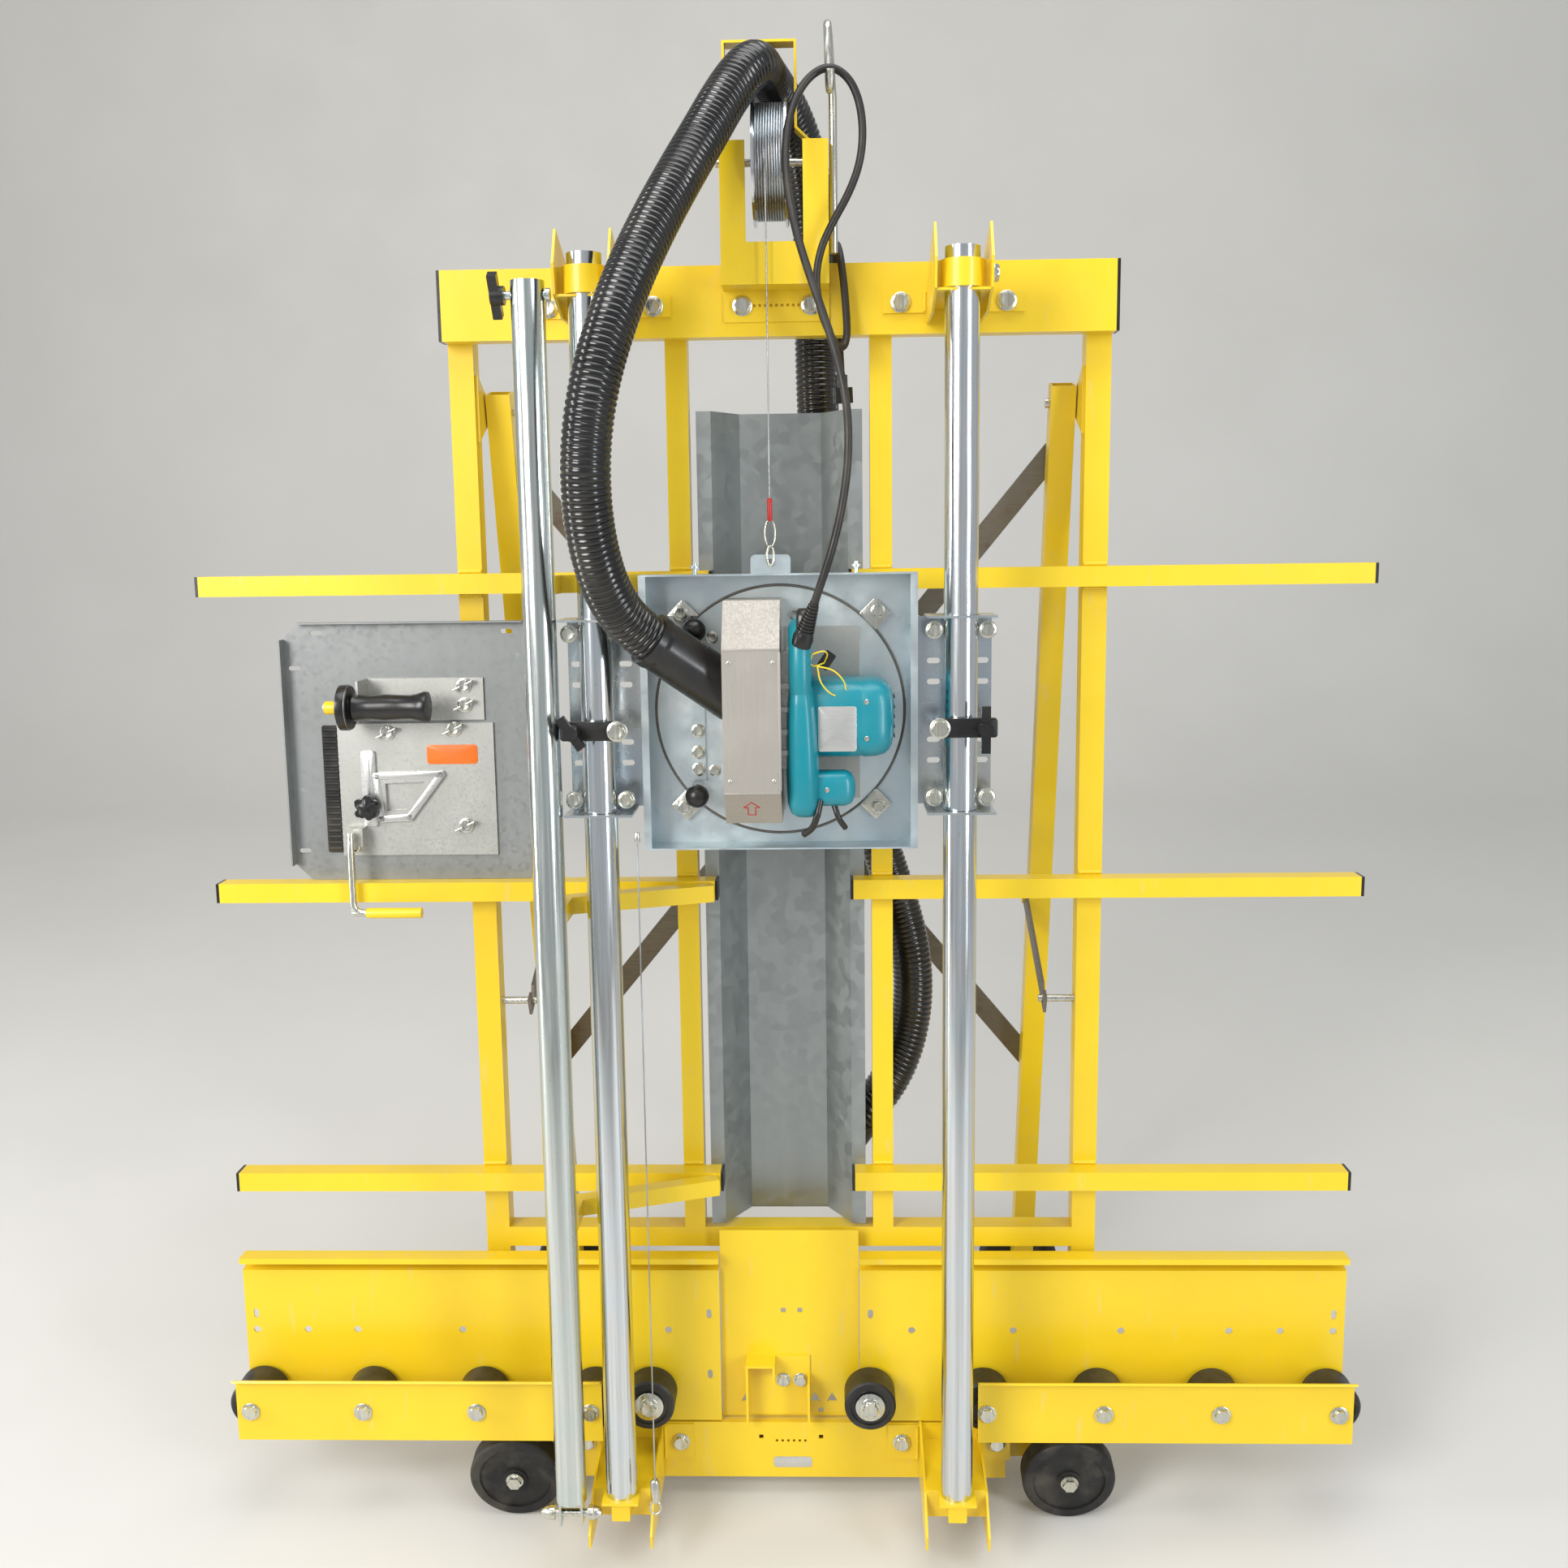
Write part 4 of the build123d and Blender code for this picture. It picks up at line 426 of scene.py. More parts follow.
coats = {
    yellow: ["top_beam", "back_frame", "cross_bars", "base_panels", "centre_plate", "bottom_channel",
             "roller_guards", "tube_top_brackets", "tube_bottom_brackets", "hold_down_arms",
             "pulley_bracket", "hose_loop", "rear_legs"],
    zinc_tube: ["guide_tubes", "cable_drum"],
    hold_zinc: ["hold_down_tube"],
    fastener: ["frame_bolts", "carriage_bearings", "cord_hook", "insert_lever"],
    rope_steel: ["guide_wire"],
    sheet_grey: ["dust_trough"],
    insert_grey: ["insert_plate"],
    pan_zinc: ["carriage_pan"],
    table_zinc: ["turntable"],
    bracket_zinc: ["carriage_brackets"],
    black: ["end_caps", "hold_down_knob", "left_lock_lever", "right_lock_lever", "upper_index_pin",
            "lower_index_pin", "saw_trigger", "insert_knob", "cord_plug"],
    roller_black: [f"roller_{number:02d}" for number in range(1, 11)],
    rubber: ["front_left_wheel", "front_right_wheel", "rear_left_wheel", "rear_right_wheel"],
    raw: ["stand_braces", "stand_stays"],
    guard: ["blade_guard"],
    blade: ["saw_blade"],
    cast: ["saw_base", "insert_fittings"],
    teal: ["saw_housing"],
}
for finish, names in coats.items():
    for name in names:
        nodes[name].data.materials.clear()
        nodes[name].data.materials.append(finish)

# ---------------------------------------------------------------- hoses, cord and rope
HOSE_R = 27.5
HOSE_STEP = 0.92        # between rings of the front hose
REAR_STEP = 1.05
SAW_END_LONG = 350.0    # the front hose's stretch that bends from saw to carriage
CORD_R = 4.75
ROPE_X = -10.0
ROPE_LAP_R = 66.2       # drum's radius under the rope
WRAP_R = 67.4
RING_STEPS = 49
FRONT_HOSE = [(-140, 1201, 180), (-171, 1225, 199), (-192, 1265, 228), (-202, 1315, 256), (-205, 1369, 277),
              (-202, 1427, 288), (-192, 1488, 286), (-176, 1549, 268), (-156, 1611, 238),
              (-132, 1672, 200), (-105, 1733, 157), (-78, 1790, 115), (-54, 1840, 83), (-34, 1874, 56),
              (-20, 1890, 33.5), (-16, 1890, 8)]
REAR_HOSE = [(-16, 1890, 7.5), (-11.5, 1890, -21), (0, 1883, -58), (20, 1858, -93), (37, 1815, -117),
             (45, 1760, -132), (48, 1690, -143), (47, 1600, -149), (49, 1500, -150), (53, 1395, -151),
             (60, 1290, -150), (71, 1190, -151), (86, 1090, -150), (106, 990, -151), (132, 895, -150),
             (158, 815, -151), (176, 745, -150), (180, 680, -149), (173, 622, -146), (156, 572, -138),
             (130, 533, -127), (103.5, 508, -118.5), (80.4, 473.6, -117.5)]
SAW_CORD = [(38, 1226, 197), (50, 1262, 212), (65, 1304, 217), (78, 1354, 214), (86, 1409, 206),
            (86, 1466, 195), (76, 1521, 183), (60, 1573, 170), (42, 1625, 154), (27, 1676, 137),
            (17, 1727, 119), (15, 1777, 101), (22, 1823, 85), (40, 1859, 73), (66, 1875, 70),
            (89, 1864, 68), (103, 1838, 67), (108, 1802, 67), (104, 1764, 68), (90, 1729, 69),
            (71, 1698, 68), (55, 1666, 66), (49, 1629, 62), (56, 1594, 54), (66, 1571, 46),
            (75, 1556, 38), (84, 1556, 29), (88, 1572, 22), (87, 1600, 18), (84, 1637, 16),
            (80, 1669, 11), (76, 1688, -9), (74, 1686, -37), (74, 1662, -58), (76, 1624, -68),
            (79, 1578, -71), (81, 1534, -74)]


def run_of(points, step):
    """Evenly spaced points in machine millimetres on the smooth curve that the given points steer."""
    data = bpy.data.curves.new("route", "CURVE")
    data.dimensions = "3D"
    data.resolution_u = 14
    spline = data.splines.new("NURBS")
    spline.points.add(len(points) - 1)
    where = np.column_stack([spot(points), np.ones(len(points))])
    spline.points.foreach_set("co", where.ravel())
    spline.order_u = 3
    spline.use_endpoint_u = True
    holder = bpy.data.objects.new("route", data)
    read = bpy.data.meshes.new_from_object(holder)
    line = np.zeros(len(read.vertices) * 3)
    read.vertices.foreach_get("co", line)
    line = machine(line.reshape(-1, 3))
    bpy.data.objects.remove(holder)
    bpy.data.meshes.remove(read)
    bpy.data.curves.remove(data)
    gone = np.concatenate([[0], np.cumsum(np.linalg.norm(np.diff(line, axis=0), axis=1))])
    count = int(round(gone[-1] / step)) + 1
    at = np.linspace(0, gone[-1], count)
    return np.stack([np.interp(at, gone, line[:, k]) for k in range(3)], -1)


def ribbed(line, pitch=7.4, depth=2.1):
    """Radius of a corrugated hose along its line: rounded ribs with narrow valleys, |cos| shaped."""
    gone = np.concatenate([[0], np.cumsum(np.linalg.norm(np.diff(line, axis=0), axis=1))])
    return HOSE_R + 0.8 - depth * (1 - np.abs(np.cos(np.pi * gone / pitch)) ** 0.7)


def split_at(line, point):
    """Index of the line's nearest point."""
    return int(np.argmin(np.linalg.norm(line - np.asarray(point, float), axis=1)))


front_line = run_of(FRONT_HOSE, HOSE_STEP)
cut = int(SAW_END_LONG / HOSE_STEP)
front_radius = ribbed(front_line)
hose_lower = build("front_hose_saw_end",
                   [carried(front_line[:cut + 1], front_radius[:cut + 1], 44, ends=False)],
                   hose_black, crease=60)
hose_upper = build("front_hose_frame_end", [carried(front_line[cut:], front_radius[cut:], 44, ends=False)],
                   hose_black, crease=60)
rear_line = run_of(REAR_HOSE, REAR_STEP)
hose_rear = build("rear_hose_run", [carried(rear_line, ribbed(rear_line), 36, ends=False)],
                  hose_black, "frame", 60)
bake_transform(hose_lower)
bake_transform(hose_upper)

cord_line = run_of(SAW_CORD, 3.0)
cord_cut = split_at(cord_line, (86, 1466, 195))
cord_lower = build("saw_cord_saw_end", [carried(cord_line[:cord_cut + 1], CORD_R, 16, side=N)],
                   cord_black, crease=60)
cord_upper = build("saw_cord_frame_end", [carried(cord_line[cord_cut:], CORD_R, 16, side=(0.3, 0.2, 1))],
                   cord_black, crease=60)
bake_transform(cord_lower)
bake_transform(cord_upper)

away = unit(cord_line[8] - cord_line[0])
relief = build("cord_strain_relief",
               [turned(cord_line[0] - 14 * away, away,
                       [(-16, 0), (-16, 12), (-6, 12.6), (0, 11)] + [
                           (2 + 4 * k + shift, 10.6 - 0.5 * k - drop)
                           for k in range(9) for shift, drop in ((0, 0), (2.2, 0), (2.5, 1.6), (3.7, 1.6))]
                       + [(40, 5.6), (40, 0)], 32)], black, "saw_unit")

rope_n = DRUM_N + ROPE_LAP_R + 0.8 + 0.5
rope_path = np.stack([np.full(640, ROPE_X), np.linspace(1345, DRUM_U, 640), np.full(640, rope_n)], -1)
turn = np.linspace(0, 2 * np.pi, 14, endpoint=False)
strand = 0.9 * (1 + 0.16 * np.cos(6 * turn[None] + rope_path[:, 1:2] * 0.9))
rope_grid = rope_path[:, None] + strand[..., None] * (
    np.cos(turn)[None, :, None] * np.array(X) + np.sin(turn)[None, :, None] * np.array(N))
rope_grid = np.concatenate([np.repeat(rope_path[:1, None], 14, axis=1), rope_grid,
                            np.repeat(rope_path[-1:, None], 14, axis=1)])
rope = build("lift_rope", [rope_grid], rope_steel, crease=80)
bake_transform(rope)

angle = np.linspace(0, 2 * np.pi, RING_STEPS)
eye = np.stack([ROPE_X + 6.5 * np.sin(angle), 1330 + 17 * np.cos(angle), np.full(RING_STEPS, rope_n)], -1)
snap = np.stack([ROPE_X + 4.2 * np.sin(angle), 1302 + 12 * np.cos(angle), np.full(RING_STEPS, rope_n)], -1)
build("rope_sleeve",
      [turned((ROPE_X, 1345, rope_n), U, [(0, 0), (0, 2.6), (2, 3.3), (26, 3.3), (28, 2.4), (28, 0)], 24)],
      red, "carriage")
build("rope_eye_and_snap_hook",
      [carried(eye, 1.1, 12, side=N, ends=False), carried(snap, 1.7, 12, side=N, ends=False)],
      fastener, "carriage")
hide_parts("lift_cable")
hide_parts("front_hose")
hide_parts("rear_hose")
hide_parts("saw_cord")

wraps = []
for k in range(11):
    round_drum = np.linspace(0, 2 * np.pi, 97)
    wrap = np.stack([np.full(97, -21.5 + 3.25 * k), DRUM_U + WRAP_R * np.cos(round_drum),
                     DRUM_N + WRAP_R * np.sin(round_drum)], -1)
    wraps.append(carried(wrap, 1.55, 10, side=X, ends=False))
build("wound_rope", wraps, rope_steel, "drum", 60)

# ---------------------------------------------------------------- cuffs
cuff_way = unit((-66, 51, 40))
cuff_line = np.array([-74.0, 1150, 140]) + np.linspace(-28, 106, 48)[:, None] * cuff_way
share = np.linspace(0, 1, len(cuff_line))
cuff_r = 33.2 - 1.4 * share + 1.2 * (share > 0.9)
build("front_hose_cuff", [carried(cuff_line, cuff_r, 56, side=N)], black, "saw_unit", 50)
rear_end = unit(rear_line[-1] - rear_line[-40])
rear_cuff = build("rear_hose_cuff",
                  [turned(rear_line[-1] - 30 * rear_end, rear_end,
                          [(-4, 0), (-4, 30), (0, 31), (34, 30.4), (56, 27.2), (58, 26), (58, 0)], 48)],
                  black, "frame")

# ---------------------------------------------------------------- frame fittings
grids = []
for hand in (-1, 1):
    middle = TUBE_X * hand
    grids += bolt((middle - 66, 1613, 3), N, 5) + bolt((middle + 66, 1613, 3), N, 5)
    grids += bolt((middle + 34, 1624, 136), X, 5)
    grids += bolt((middle - 66, 72, 3), N, 5) + bolt((middle + 66, 72, 3), N, 5)
    grids += bolt((43 * hand, 1612, 3), N, 5)
for x in (-738, -583, -427, -271, 267, 424, 581, 738):
    grids += bolt((x, ROLLER_U, 64), N, 5)
for x in (-193, 110):
    grids += [turned((x, ROLLER_U, 48.3), N, [(0, 0), (0, 20), (1.5, 20), (2.0, 19), (2.0, 0)], 48)]
    grids += bolt((x, ROLLER_U, 50.4), N, 5.4)
grids += bolt((-10, 160, -8), N, 4) + bolt((14, 160, -8), N, 4)
for end in (-1, 1):
    grids.append(turned((-285 + end * 25, 62, 150), (end, 0, 0),
                        [(-3, 0), (-3, 9.6), (4, 9.6), (5, 8.4), (10, 7.6), (14, 5), (15.5, 0)], 36))
grids.append(turned((WIRE_X, 82, WIRE_N), U,
                    [(0, 0), (0, 5.8), (3, 6.4), (27, 6.4), (30, 4), (30, 0)], 24, 6))
ring = np.stack([WIRE_X + 7 * np.sin(angle), 72 + 9 * np.cos(angle), np.full(RING_STEPS, WIRE_N)], -1)
grids.append(carried(ring, 1.6, 12, side=N, ends=False))
grids.append(turned((WIRE_X, 959, WIRE_N), U, [(0, 0), (0, 3.2), (1, 3.6), (11, 3.6), (12, 3), (12, 0)], 20))
build("frame_bolts_and_washers", grids, fastener, "frame")

beads = []
for level in (455.0, 863.0, 1271.0):
    for hand in (-1, 1):
        for low, high in ((393, 423), (118, 144)):
            for rise in (-15.5, 15.5):
                along = np.linspace(low, high, 40)
                path = np.stack([hand * along, np.full(40, level + rise), np.full(40, -30.5)], -1)
                beads.append(carried(path, 2.6 + 0.6 * np.abs(np.sin(along * 1.1)), 10, side=U))
for hand in (-1, 1):
    for edge in (-44.5, 44.5):
        along = np.linspace(48, 96, 50)
        path = np.stack([np.full(50, TUBE_X * hand + edge), along, np.full(50, 3.2)], -1)
        beads.append(carried(path, 2.2 + 0.5 * np.abs(np.sin(along * 1.1)), 10, side=X))
    for edge in (-36, 36):
        along = np.linspace(1602, 1624, 26)
        path = np.stack([np.full(26, TUBE_X * hand + edge), along, np.full(26, 3.2)], -1)
        beads.append(carried(path, 2.2 + 0.5 * np.abs(np.sin(along * 1.1)), 10, side=X))
build("weld_beads", beads, yellow, "frame", 70)

build("base_blank_label", [plate((2, 40, -0.1), (27, 8), 0.8, 5, 0.3)], silver, "frame")

# ---------------------------------------------------------------- carriage fittings
grids = []
for across in (-1, 1):
    for up in (-1, 1):
        grids += bolt((across * 123, CARRIAGE_U + up * 123, 69), N, 3.6)
        grids.append(plate((across * 120, CARRIAGE_U + up * 120, 66.8), (14.4, 14.4), 2.5, 2.5, 0.5, 45))
for hand in (-1, 1):
    grids += bolt((hand * 194, 1096, 160.65), N, 5)
    for up in (-1, 1):
        for side_hand in (-1, 1):
            x = hand * TUBE_X + side_hand * 32.05
            grids += bolt((x, CARRIAGE_U + up * 102, 133.5), N, 4)
build("carriage_bolts", grids, fastener, "carriage")
bars = [plate((hand * (TUBE_X + 4.5), 1096, 151.2), (37.6, 11.7), 9.9, 4, 1.0) for hand in (-1, 1)]
build("lock_bars", bars, black, "carriage")

# ---------------------------------------------------------------- turntable and saw fittings
grids = []
for u in (1036, 1058, 1085):
    grids += bolt((-104, u, 68.4), N, 3.5)
for x, u in ((-84, 1034), (-84, 1202), (20, 1230)):
    grids += bolt((x, u, 65.4), N, 3)
for x in (-56, -4):
    for u in (1040, 1180):
        grids.append(ball((x, u, 198.8), N, 2.6, 0.5, 20))
build("turntable_bolts", grids, fastener, "saw_unit")
build("guard_seam", [plate((3.4, CARRIAGE_U, 198.6), (1.6, 82), 2.2, 0.8, 0.4),
                     plate((-30, 1195, 199.2), (33, 1.2), 1.2, 0.6, 0.3),
                     plate((-30, 1025, 199.2), (33, 1.2), 1.2, 0.6, 0.3)], guard, "saw_unit")
# A thin ring round the turntable's edge in the darker raw-steel finish: painted shade, a dark line that
# stands for the shade along the turntable's edge.
circle = np.linspace(0, 2 * np.pi, 241)
shade_line_path = np.stack([156.4 * np.cos(circle), CARRIAGE_U + 156.4 * np.sin(circle), np.full(241, 65.2)], -1)
build("turntable_edge_shade_line", [carried(shade_line_path, 1.7, 12, side=N, ends=False)], raw, "saw_unit")
arrow_line = [(-4.5, -12), (4.5, -12), (4.5, 2), (9.5, 2), (0, 12), (-9.5, 2), (-4.5, 2), (-4.5, -12)]
rise_way, face_way = unit((0, 42, 38)), unit((0, -38, 42))
strokes = []
for (ax, au), (bx, bu) in zip(arrow_line, arrow_line[1:]):
    long = math.hypot(bx - ax, bu - au)
    middle = (np.array([-32, 1004, 181]) + (ax + bx) / 2 * np.array(X, float) + (au + bu) / 2 * rise_way
              - 0.2 * face_way)
    strokes.append(plate(middle, (long / 2 + 0.6, 0.6), 0.6, 0.55, 0.12,
                         math.degrees(math.atan2(bu - au, bx - ax)), (X, rise_way, face_way)))
build("guard_arrow", strokes, red, "saw_unit")

shell = [lofted([(38, 0, 0), (38, 45, 49), (43, 47.4, 51.4), (96, 47.6, 51.6), (99, 46.6, 50.6),
                 (101, 46.6, 50.6), (104, 47.6, 51.6), (118, 47, 51), (127, 44.5, 48.5), (133, 40, 44),
                 (137, 33, 37), (139.5, 22, 25), (140.5, 0, 0)], (1108, 122), 4.2),
         lofted([(12, 0, 0), (12, 20, 17), (15, 21.5, 19.4), (80, 21.5, 19.4), (88, 18, 16), (92, 10, 9),
                 (93, 0, 0)], (1025, 158), 3.2)]


def upright_shell(profile, power=3.0, around=48):
    """A shell run up the slope: at each step (u, middle X, half X, middle N, half N), a softened square ring
    r(angle) = (|cos|^p + |sin|^p)^(-1/p) times each half size."""
    u, mx, hx, mn, hn = np.array(profile, float).T
    turn = np.linspace(0, 2 * np.pi, around, endpoint=False)
    r = (np.abs(np.cos(turn)) ** power + np.abs(np.sin(turn)) ** power) ** (-1 / power)
    return np.stack([mx[:, None] + hx[:, None] * r * np.cos(turn),
                     np.broadcast_to(u[:, None], (len(u), around)),
                     mn[:, None] + hn[:, None] * r * np.sin(turn)], -1)


shell.append(upright_shell([(992, 32, 0, 150, 0), (992, 32, 12, 150, 26), (996, 31, 17, 150, 34),
                            (1008, 30, 19.5, 150, 41), (1050, 29.5, 20, 150, 44),
                            (1085, 29, 19.4, 149.5, 46), (1110, 28.6, 18.4, 149, 47),
                            (1128, 28.3, 17, 148.5, 47.2), (1140, 28, 15.6, 148, 47),
                            (1147, 28, 14.4, 146, 44), (1151, 28, 11, 145, 36), (1152, 28, 0, 145, 0)]))
grip_line = flowing([(28, 1128, 176), (27.6, 1150, 183), (27.4, 1180, 185), (28, 1206, 180), (29, 1216, 162),
                     (29, 1213, 140), (29, 1196, 122), (29, 1170, 112), (29, 1130, 108)], 12)
step = np.linspace(0, 1, len(grip_line))
shell.append(carried(grip_line, 13.2 + 2.6 * np.exp(-((step - 0.5) / 0.1) ** 2), 32, side=X))
tool_shell = build("tool_housing_shell", shell, teal, "saw_unit", 50)
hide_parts("saw_housing")
vents = [plate((140.2, 1084 + 12 * k, 122), (16, 1.9), 1.0, 1.8, 0.3, 0, (N, U, X)) for k in range(5)]
vents.append(lofted([(24, 0, 0), (24, 15, 11), (27, 18, 14), (40, 18, 14), (43, 15, 11), (44, 0, 0)],
                    (1224, 182), 2.6, 40))
vents.append(carried(flowing([(50, 1012, 176), (46, 994, 180), (40, 978, 170), (30, 968, 158)], 10),
                     4.2, 14, side=X))
vents.append(carried(flowing([(66, 1008, 166), (72, 990, 170), (80, 976, 160)], 10), 3.6, 14, side=X))
build("tool_grips_and_vents", vents, black, "saw_unit", 50)
build("tool_blank_plate", [plate((71, 1098, 173.2), (23, 27), 0.9, 3, 0.3)], silver, "saw_unit")
screws = []
for x, u, n in ((106, 1130, 172.8), (106, 1086, 172.8), (58, 1025, 177.0)):
    screws.append(turned((x, u, n), N, [(0, 0), (0, 3.1), (1.0, 3.1), (1.5, 2.5), (1.5, 1.4), (0.7, 1.2),
                                        (0.7, 0)], 24))
screws.append(turned((3, CARRIAGE_U, 89), X, [(0, 0), (0, 26), (3, 27), (9, 27), (11, 24), (11, 0)], 48))
build("tool_screws", screws, fastener, "saw_unit")
loops = []
for dx, du, tip_x, tip_u in ((0, 0, 14, -12), (6, -14, 34, -40)):
    knot = np.array([42.0 + dx, 1188.0 + du, 184.0])
    far = knot + np.array([tip_x, tip_u, -22.0])
    for bow in (-7.0, 8.0):
        swing = np.array([bow, bow * 0.9, 5.0])
        route = [knot, knot + 0.33 * (far - knot) + swing, knot + 0.7 * (far - knot) + swing, far]
        loops.append(carried(flowing(route, 14), 0.95, 10, side=N))
build("yellow_string", loops, string, "saw_unit")
build("blank_tags", [plate((59, 1179, 160), (7, 11), 1.6, 2, 0.4, -35),
                     plate((84, 1134, 160), (11, 6), 1.6, 2, 0.4, -20)], black, "saw_unit")
for name, u in (("lower", 1007.0), ("upper", 1213.0)):
    knob = [ball((-104, u, 87.2), N, 14.9),
            turned((-104, u, 76.5), N, [(0, 0), (0, 8.6), (9, 8.6), (12, 7), (12, 0)], 32)]
    build(f"{name}_ball_knob", knob, black, f"{name}_pin")

# ---------------------------------------------------------------- insert fittings
grids = []
for x, u in ((-525, 1076), (-436, 1080), (-425, 950), (-420, 1138), (-420, 1112)):
    grids += bolt((x, u, INSERT_FACE + 3), N, 4)
    for lean_turn in (25, 205):
        c, s = math.cos(math.radians(lean_turn)), math.sin(math.radians(lean_turn))
        grids.append(plate((x + 9 * c, u + 9 * s, INSERT_FACE + 6), (6, 1.2), 9, 1.1, 0.4, lean_turn))
corners = [(-543, 1018), (-455, 1020), (-500, 962), (-538, 960), (-543, 1018)]
struts = []
for (ax, au), (bx, bu) in zip(corners, corners[1:]):
    struts.append(plate(((ax + bx) / 2, (au + bu) / 2, INSERT_FACE + 2.8),
                        (math.hypot(bx - ax, bu - au) / 2 + 4, 4.6), 5.4, 3, 0.7,
                        math.degrees(math.atan2(bu - au, bx - ax))))
struts.append(plate((-553, 1001, INSERT_FACE + 2.8), (9.6, 51), 4.4, 4, 0.6))
struts.append(plate((-553, 1018, INSERT_FACE + 7), (2.6, 24), 0.5, 2.4, 0.2))
build("insert_arm_and_bracket", struts, silver, "insert")
build("insert_bolts", grids, fastener, "insert")
grip = [turned((-558, HANDLE_U, HANDLE_N), X,
               [(0, 0), (0, 16), (4, 18), (10, 16), (24, 15.6), (44, 17.2), (62, 16.2),
                (78, 15.8), (88, 18), (96, 20.5), (100, 19.5), (101, 14), (101, 0)], 48),
        turned((-573, HANDLE_U, HANDLE_N), X,
               [(0, 0), (0, 27), (1.5, 29.6), (11, 29.8), (14.6, 28), (14.6, 0)], 56)]
build("insert_side_handle", grip, black, "insert")
build("insert_handle_tip",
      [turned((-572.5, HANDLE_U, HANDLE_N), (-1, 0, 0),
              [(0, 0), (0, 8.7), (18, 8.7), (21.5, 7.6), (23, 4), (23.2, 0)], 32)],
      yellow, "insert")
ribs = [plate((-603, 1000, INSERT_FACE), (11, 86), 2.2, 3, 0.6)]
for k in range(21):
    rib = np.stack([np.linspace(-612, -594, 12), np.full(12, 920.0 + 8 * k),
                    np.full(12, INSERT_FACE + 2.6)], -1)
    ribs.append(carried(rib, 2.4, 10, side=U))
build("insert_rubber_pad", ribs, rubber, "insert", 60)
build("insert_blank_label", [plate((-440, 1046, INSERT_FACE + 2.9), (34, 13), 0.6, 5, 0.2)], orange, "insert")
star = [turned((-553, 978, -16.2), N, [(0, 0), (0, 12), (2, 14.5), (9, 15.2), (16, 14.2), (19.5, 11), (21, 5),
                                       (21, 0)], 60, 0, (5, 0.14))]
build("insert_star_knob", star, black, "insert_clamp", 50)
wire = flowing([(-573, 946, 10), (-573, 920, 12), (-573, 868, 12), (-572, 846, 12), (-560, 838.4, 12),
                (-520, 838, 12), (-484, 838, 12)], 10)
build("insert_lever_bar", [carried(wire, 4.6, 18, side=N)], fastener, "insert_handle", 60)
sleeve = [carried(flowing([(-556, 838, 12), (-520, 838, 12), (-486, 838, 12), (-482, 838, 12)], 12),
                  np.interp(np.linspace(0, 1, 37), [0, 0.06, 0.9, 1.0], [6.2, 7.0, 7.0, 5.2]), 24, side=N)]
build("insert_lever_grip", sleeve, yellow, "insert_handle", 60)
coil = np.linspace(0, 2 * np.pi * 7, 260)
helix = np.stack([-573 + 8.4 * np.cos(coil), 926 + 8.4 * np.sin(coil), -16 + 2.3 * coil / 2 / np.pi], -1)
build("insert_spring", [carried(helix, 1.0, 10, side=N)], fastener, "insert", 60)

# ---------------------------------------------------------------- floor, light and camera
scene = bpy.context.scene


def studio_floor():
    """A floor that turns up into a wall: straight run, quarter circle of radius R, straight rise."""
    bend = np.linspace(0, np.pi / 2, 24)
    radius, start = 1.6, 2.6
    depth = np.concatenate([[-7.0, -3.0, 0.0], start + radius * np.sin(bend), [start + radius]])
    rise = np.concatenate([[0.0, 0.0, 0.0], radius - radius * np.cos(bend), [6.5]])
    across = np.linspace(-7, 7, 15)
    grid = np.stack([np.broadcast_to(across, (len(depth), 15)),
                     np.broadcast_to(depth[:, None], (len(depth), 15)),
                     np.broadcast_to(rise[:, None], (len(depth), 15))], -1)
    index = np.arange(len(depth) * 15).reshape(len(depth), 15)
    faces = np.stack([index[:-1, :-1], index[:-1, 1:], index[1:, 1:], index[1:, :-1]], -1).reshape(-1, 4)
    mesh = bpy.data.meshes.new("studio floor")
    mesh.from_pydata(grid.reshape(-1, 3).tolist(), [], faces.tolist())
    mesh.shade_smooth()
    f = Finish("studio floor", tone(0.8, 0.795, 0.78), 0.6)
    f.paint(f.span(f.noise(0.5, 4), 0.3, 0.7, 0.0, 0.25), tone(0.74, 0.735, 0.72))
    f.dull(f.noise(0.2, 4), 0.3, 0.7, 0.5, 0.7)
    mesh.materials.append(f.done())
    floor = bpy.data.objects.new("studio_floor", mesh)
    scene.collection.objects.link(floor)


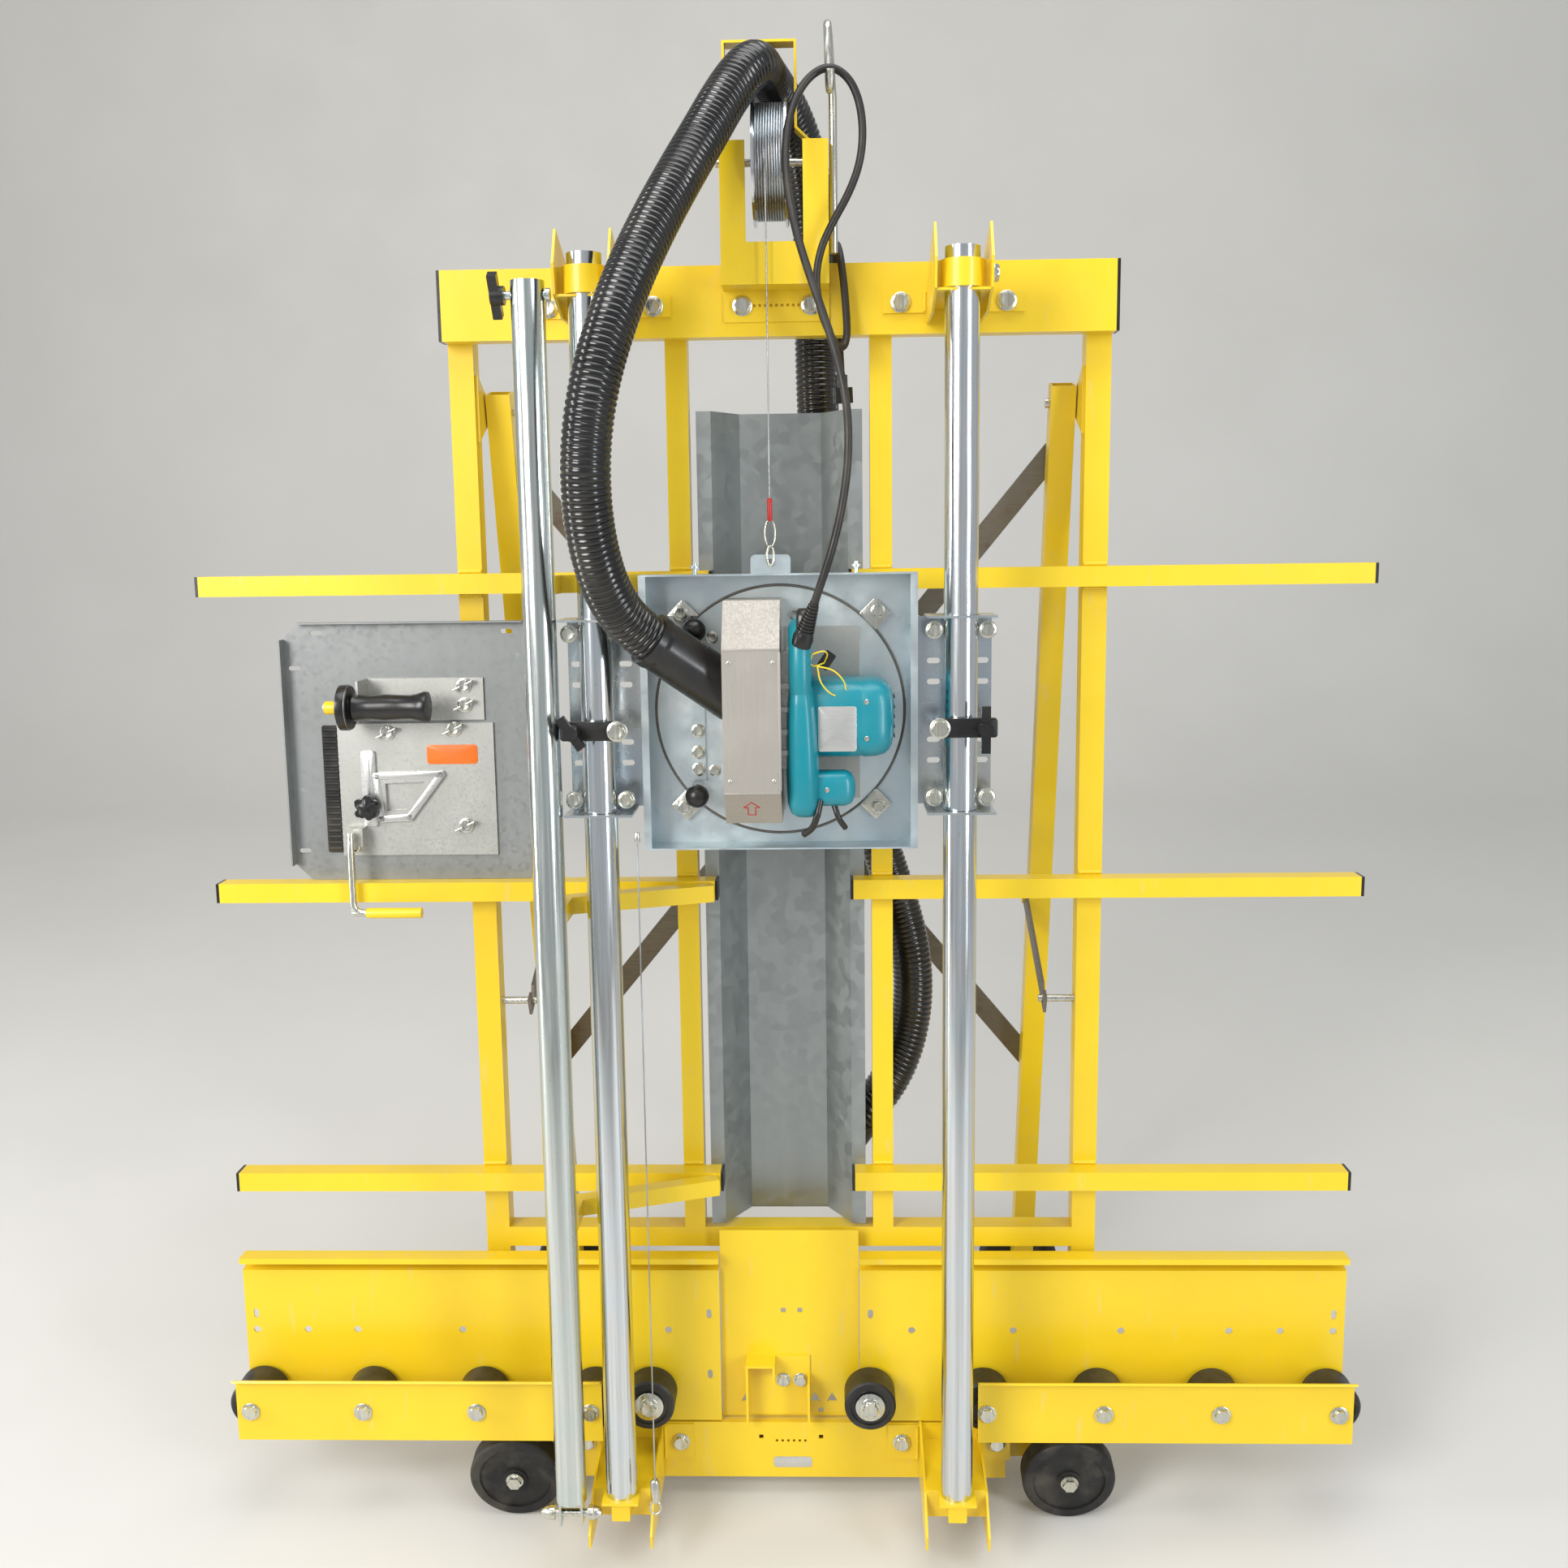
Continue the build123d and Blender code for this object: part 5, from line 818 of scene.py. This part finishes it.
def lamp(name, place, aim, size, power, colour=(1, 1, 1)):
    """A soft rectangular lamp at place that faces aim."""
    data = bpy.data.lights.new(name, "AREA")
    data.shape = "RECTANGLE"
    data.size, data.size_y = size
    data.energy = power
    data.color = colour
    thing = bpy.data.objects.new(name, data)
    place, aim = np.array(place, float), np.array(aim, float)
    back = unit(place - aim)
    right = unit(np.cross((0, 0, 1), back))
    up = np.cross(back, right)
    turn = Matrix([list(row) for row in np.column_stack([right, up, back])]).to_4x4()
    turn.translation = place.tolist()
    thing.matrix_world = turn
    scene.collection.objects.link(thing)


studio_floor()
lamp("key", (-2.4, -2.9, 3.0), (0, 0, 0.9), (1.6, 2.2), 135, (1.0, 0.98, 0.95))
lamp("fill", (2.9, -2.6, 2.0), (0, 0, 0.9), (0.7, 2.6), 70, (0.93, 0.97, 1.0))
lamp("strip", (-3.2, -0.6, 1.4), (0, 0, 1.0), (0.4, 2.6), 45, (1.0, 0.97, 0.92))
lamp("top", (0.2, -0.2, 4.2), (0, 0.1, 0.8), (3.0, 2.0), 70)

world = bpy.data.worlds.new("studio")
world.use_nodes = True
world.node_tree.nodes["Background"].inputs["Color"].default_value = (0.86, 0.88, 0.9, 1)
world.node_tree.nodes["Background"].inputs["Strength"].default_value = 0.55
scene.world = world

EYE = (60.5, 1313.0, 1995.7)
YAW, PITCH, ROLL = math.radians(1.690), math.radians(8.753), math.radians(-0.733)
ahead = math.cos(YAW) * -OUTWARD - math.sin(YAW) * ACROSS
right = math.cos(YAW) * ACROSS + math.sin(YAW) * -OUTWARD
above = UP_SLOPE
ahead, above = (math.cos(PITCH) * ahead - math.sin(PITCH) * above,
                math.cos(PITCH) * above + math.sin(PITCH) * ahead)
right, above = (math.cos(ROLL) * right + math.sin(ROLL) * above,
                math.cos(ROLL) * above - math.sin(ROLL) * right)
lens = bpy.data.cameras.new("camera")
lens.lens = 35.33
lens.sensor_width = 36.0
lens.clip_start = 0.02
camera = bpy.data.objects.new("camera", lens)
pose = Matrix([list(row) for row in np.column_stack([right, above, -ahead])]).to_4x4()
pose.translation = spot(EYE).tolist()
camera.matrix_world = pose
scene.collection.objects.link(camera)
scene.camera = camera
scene.render.resolution_x = scene.render.resolution_y = 1932
scene.view_settings.view_transform = "Standard"
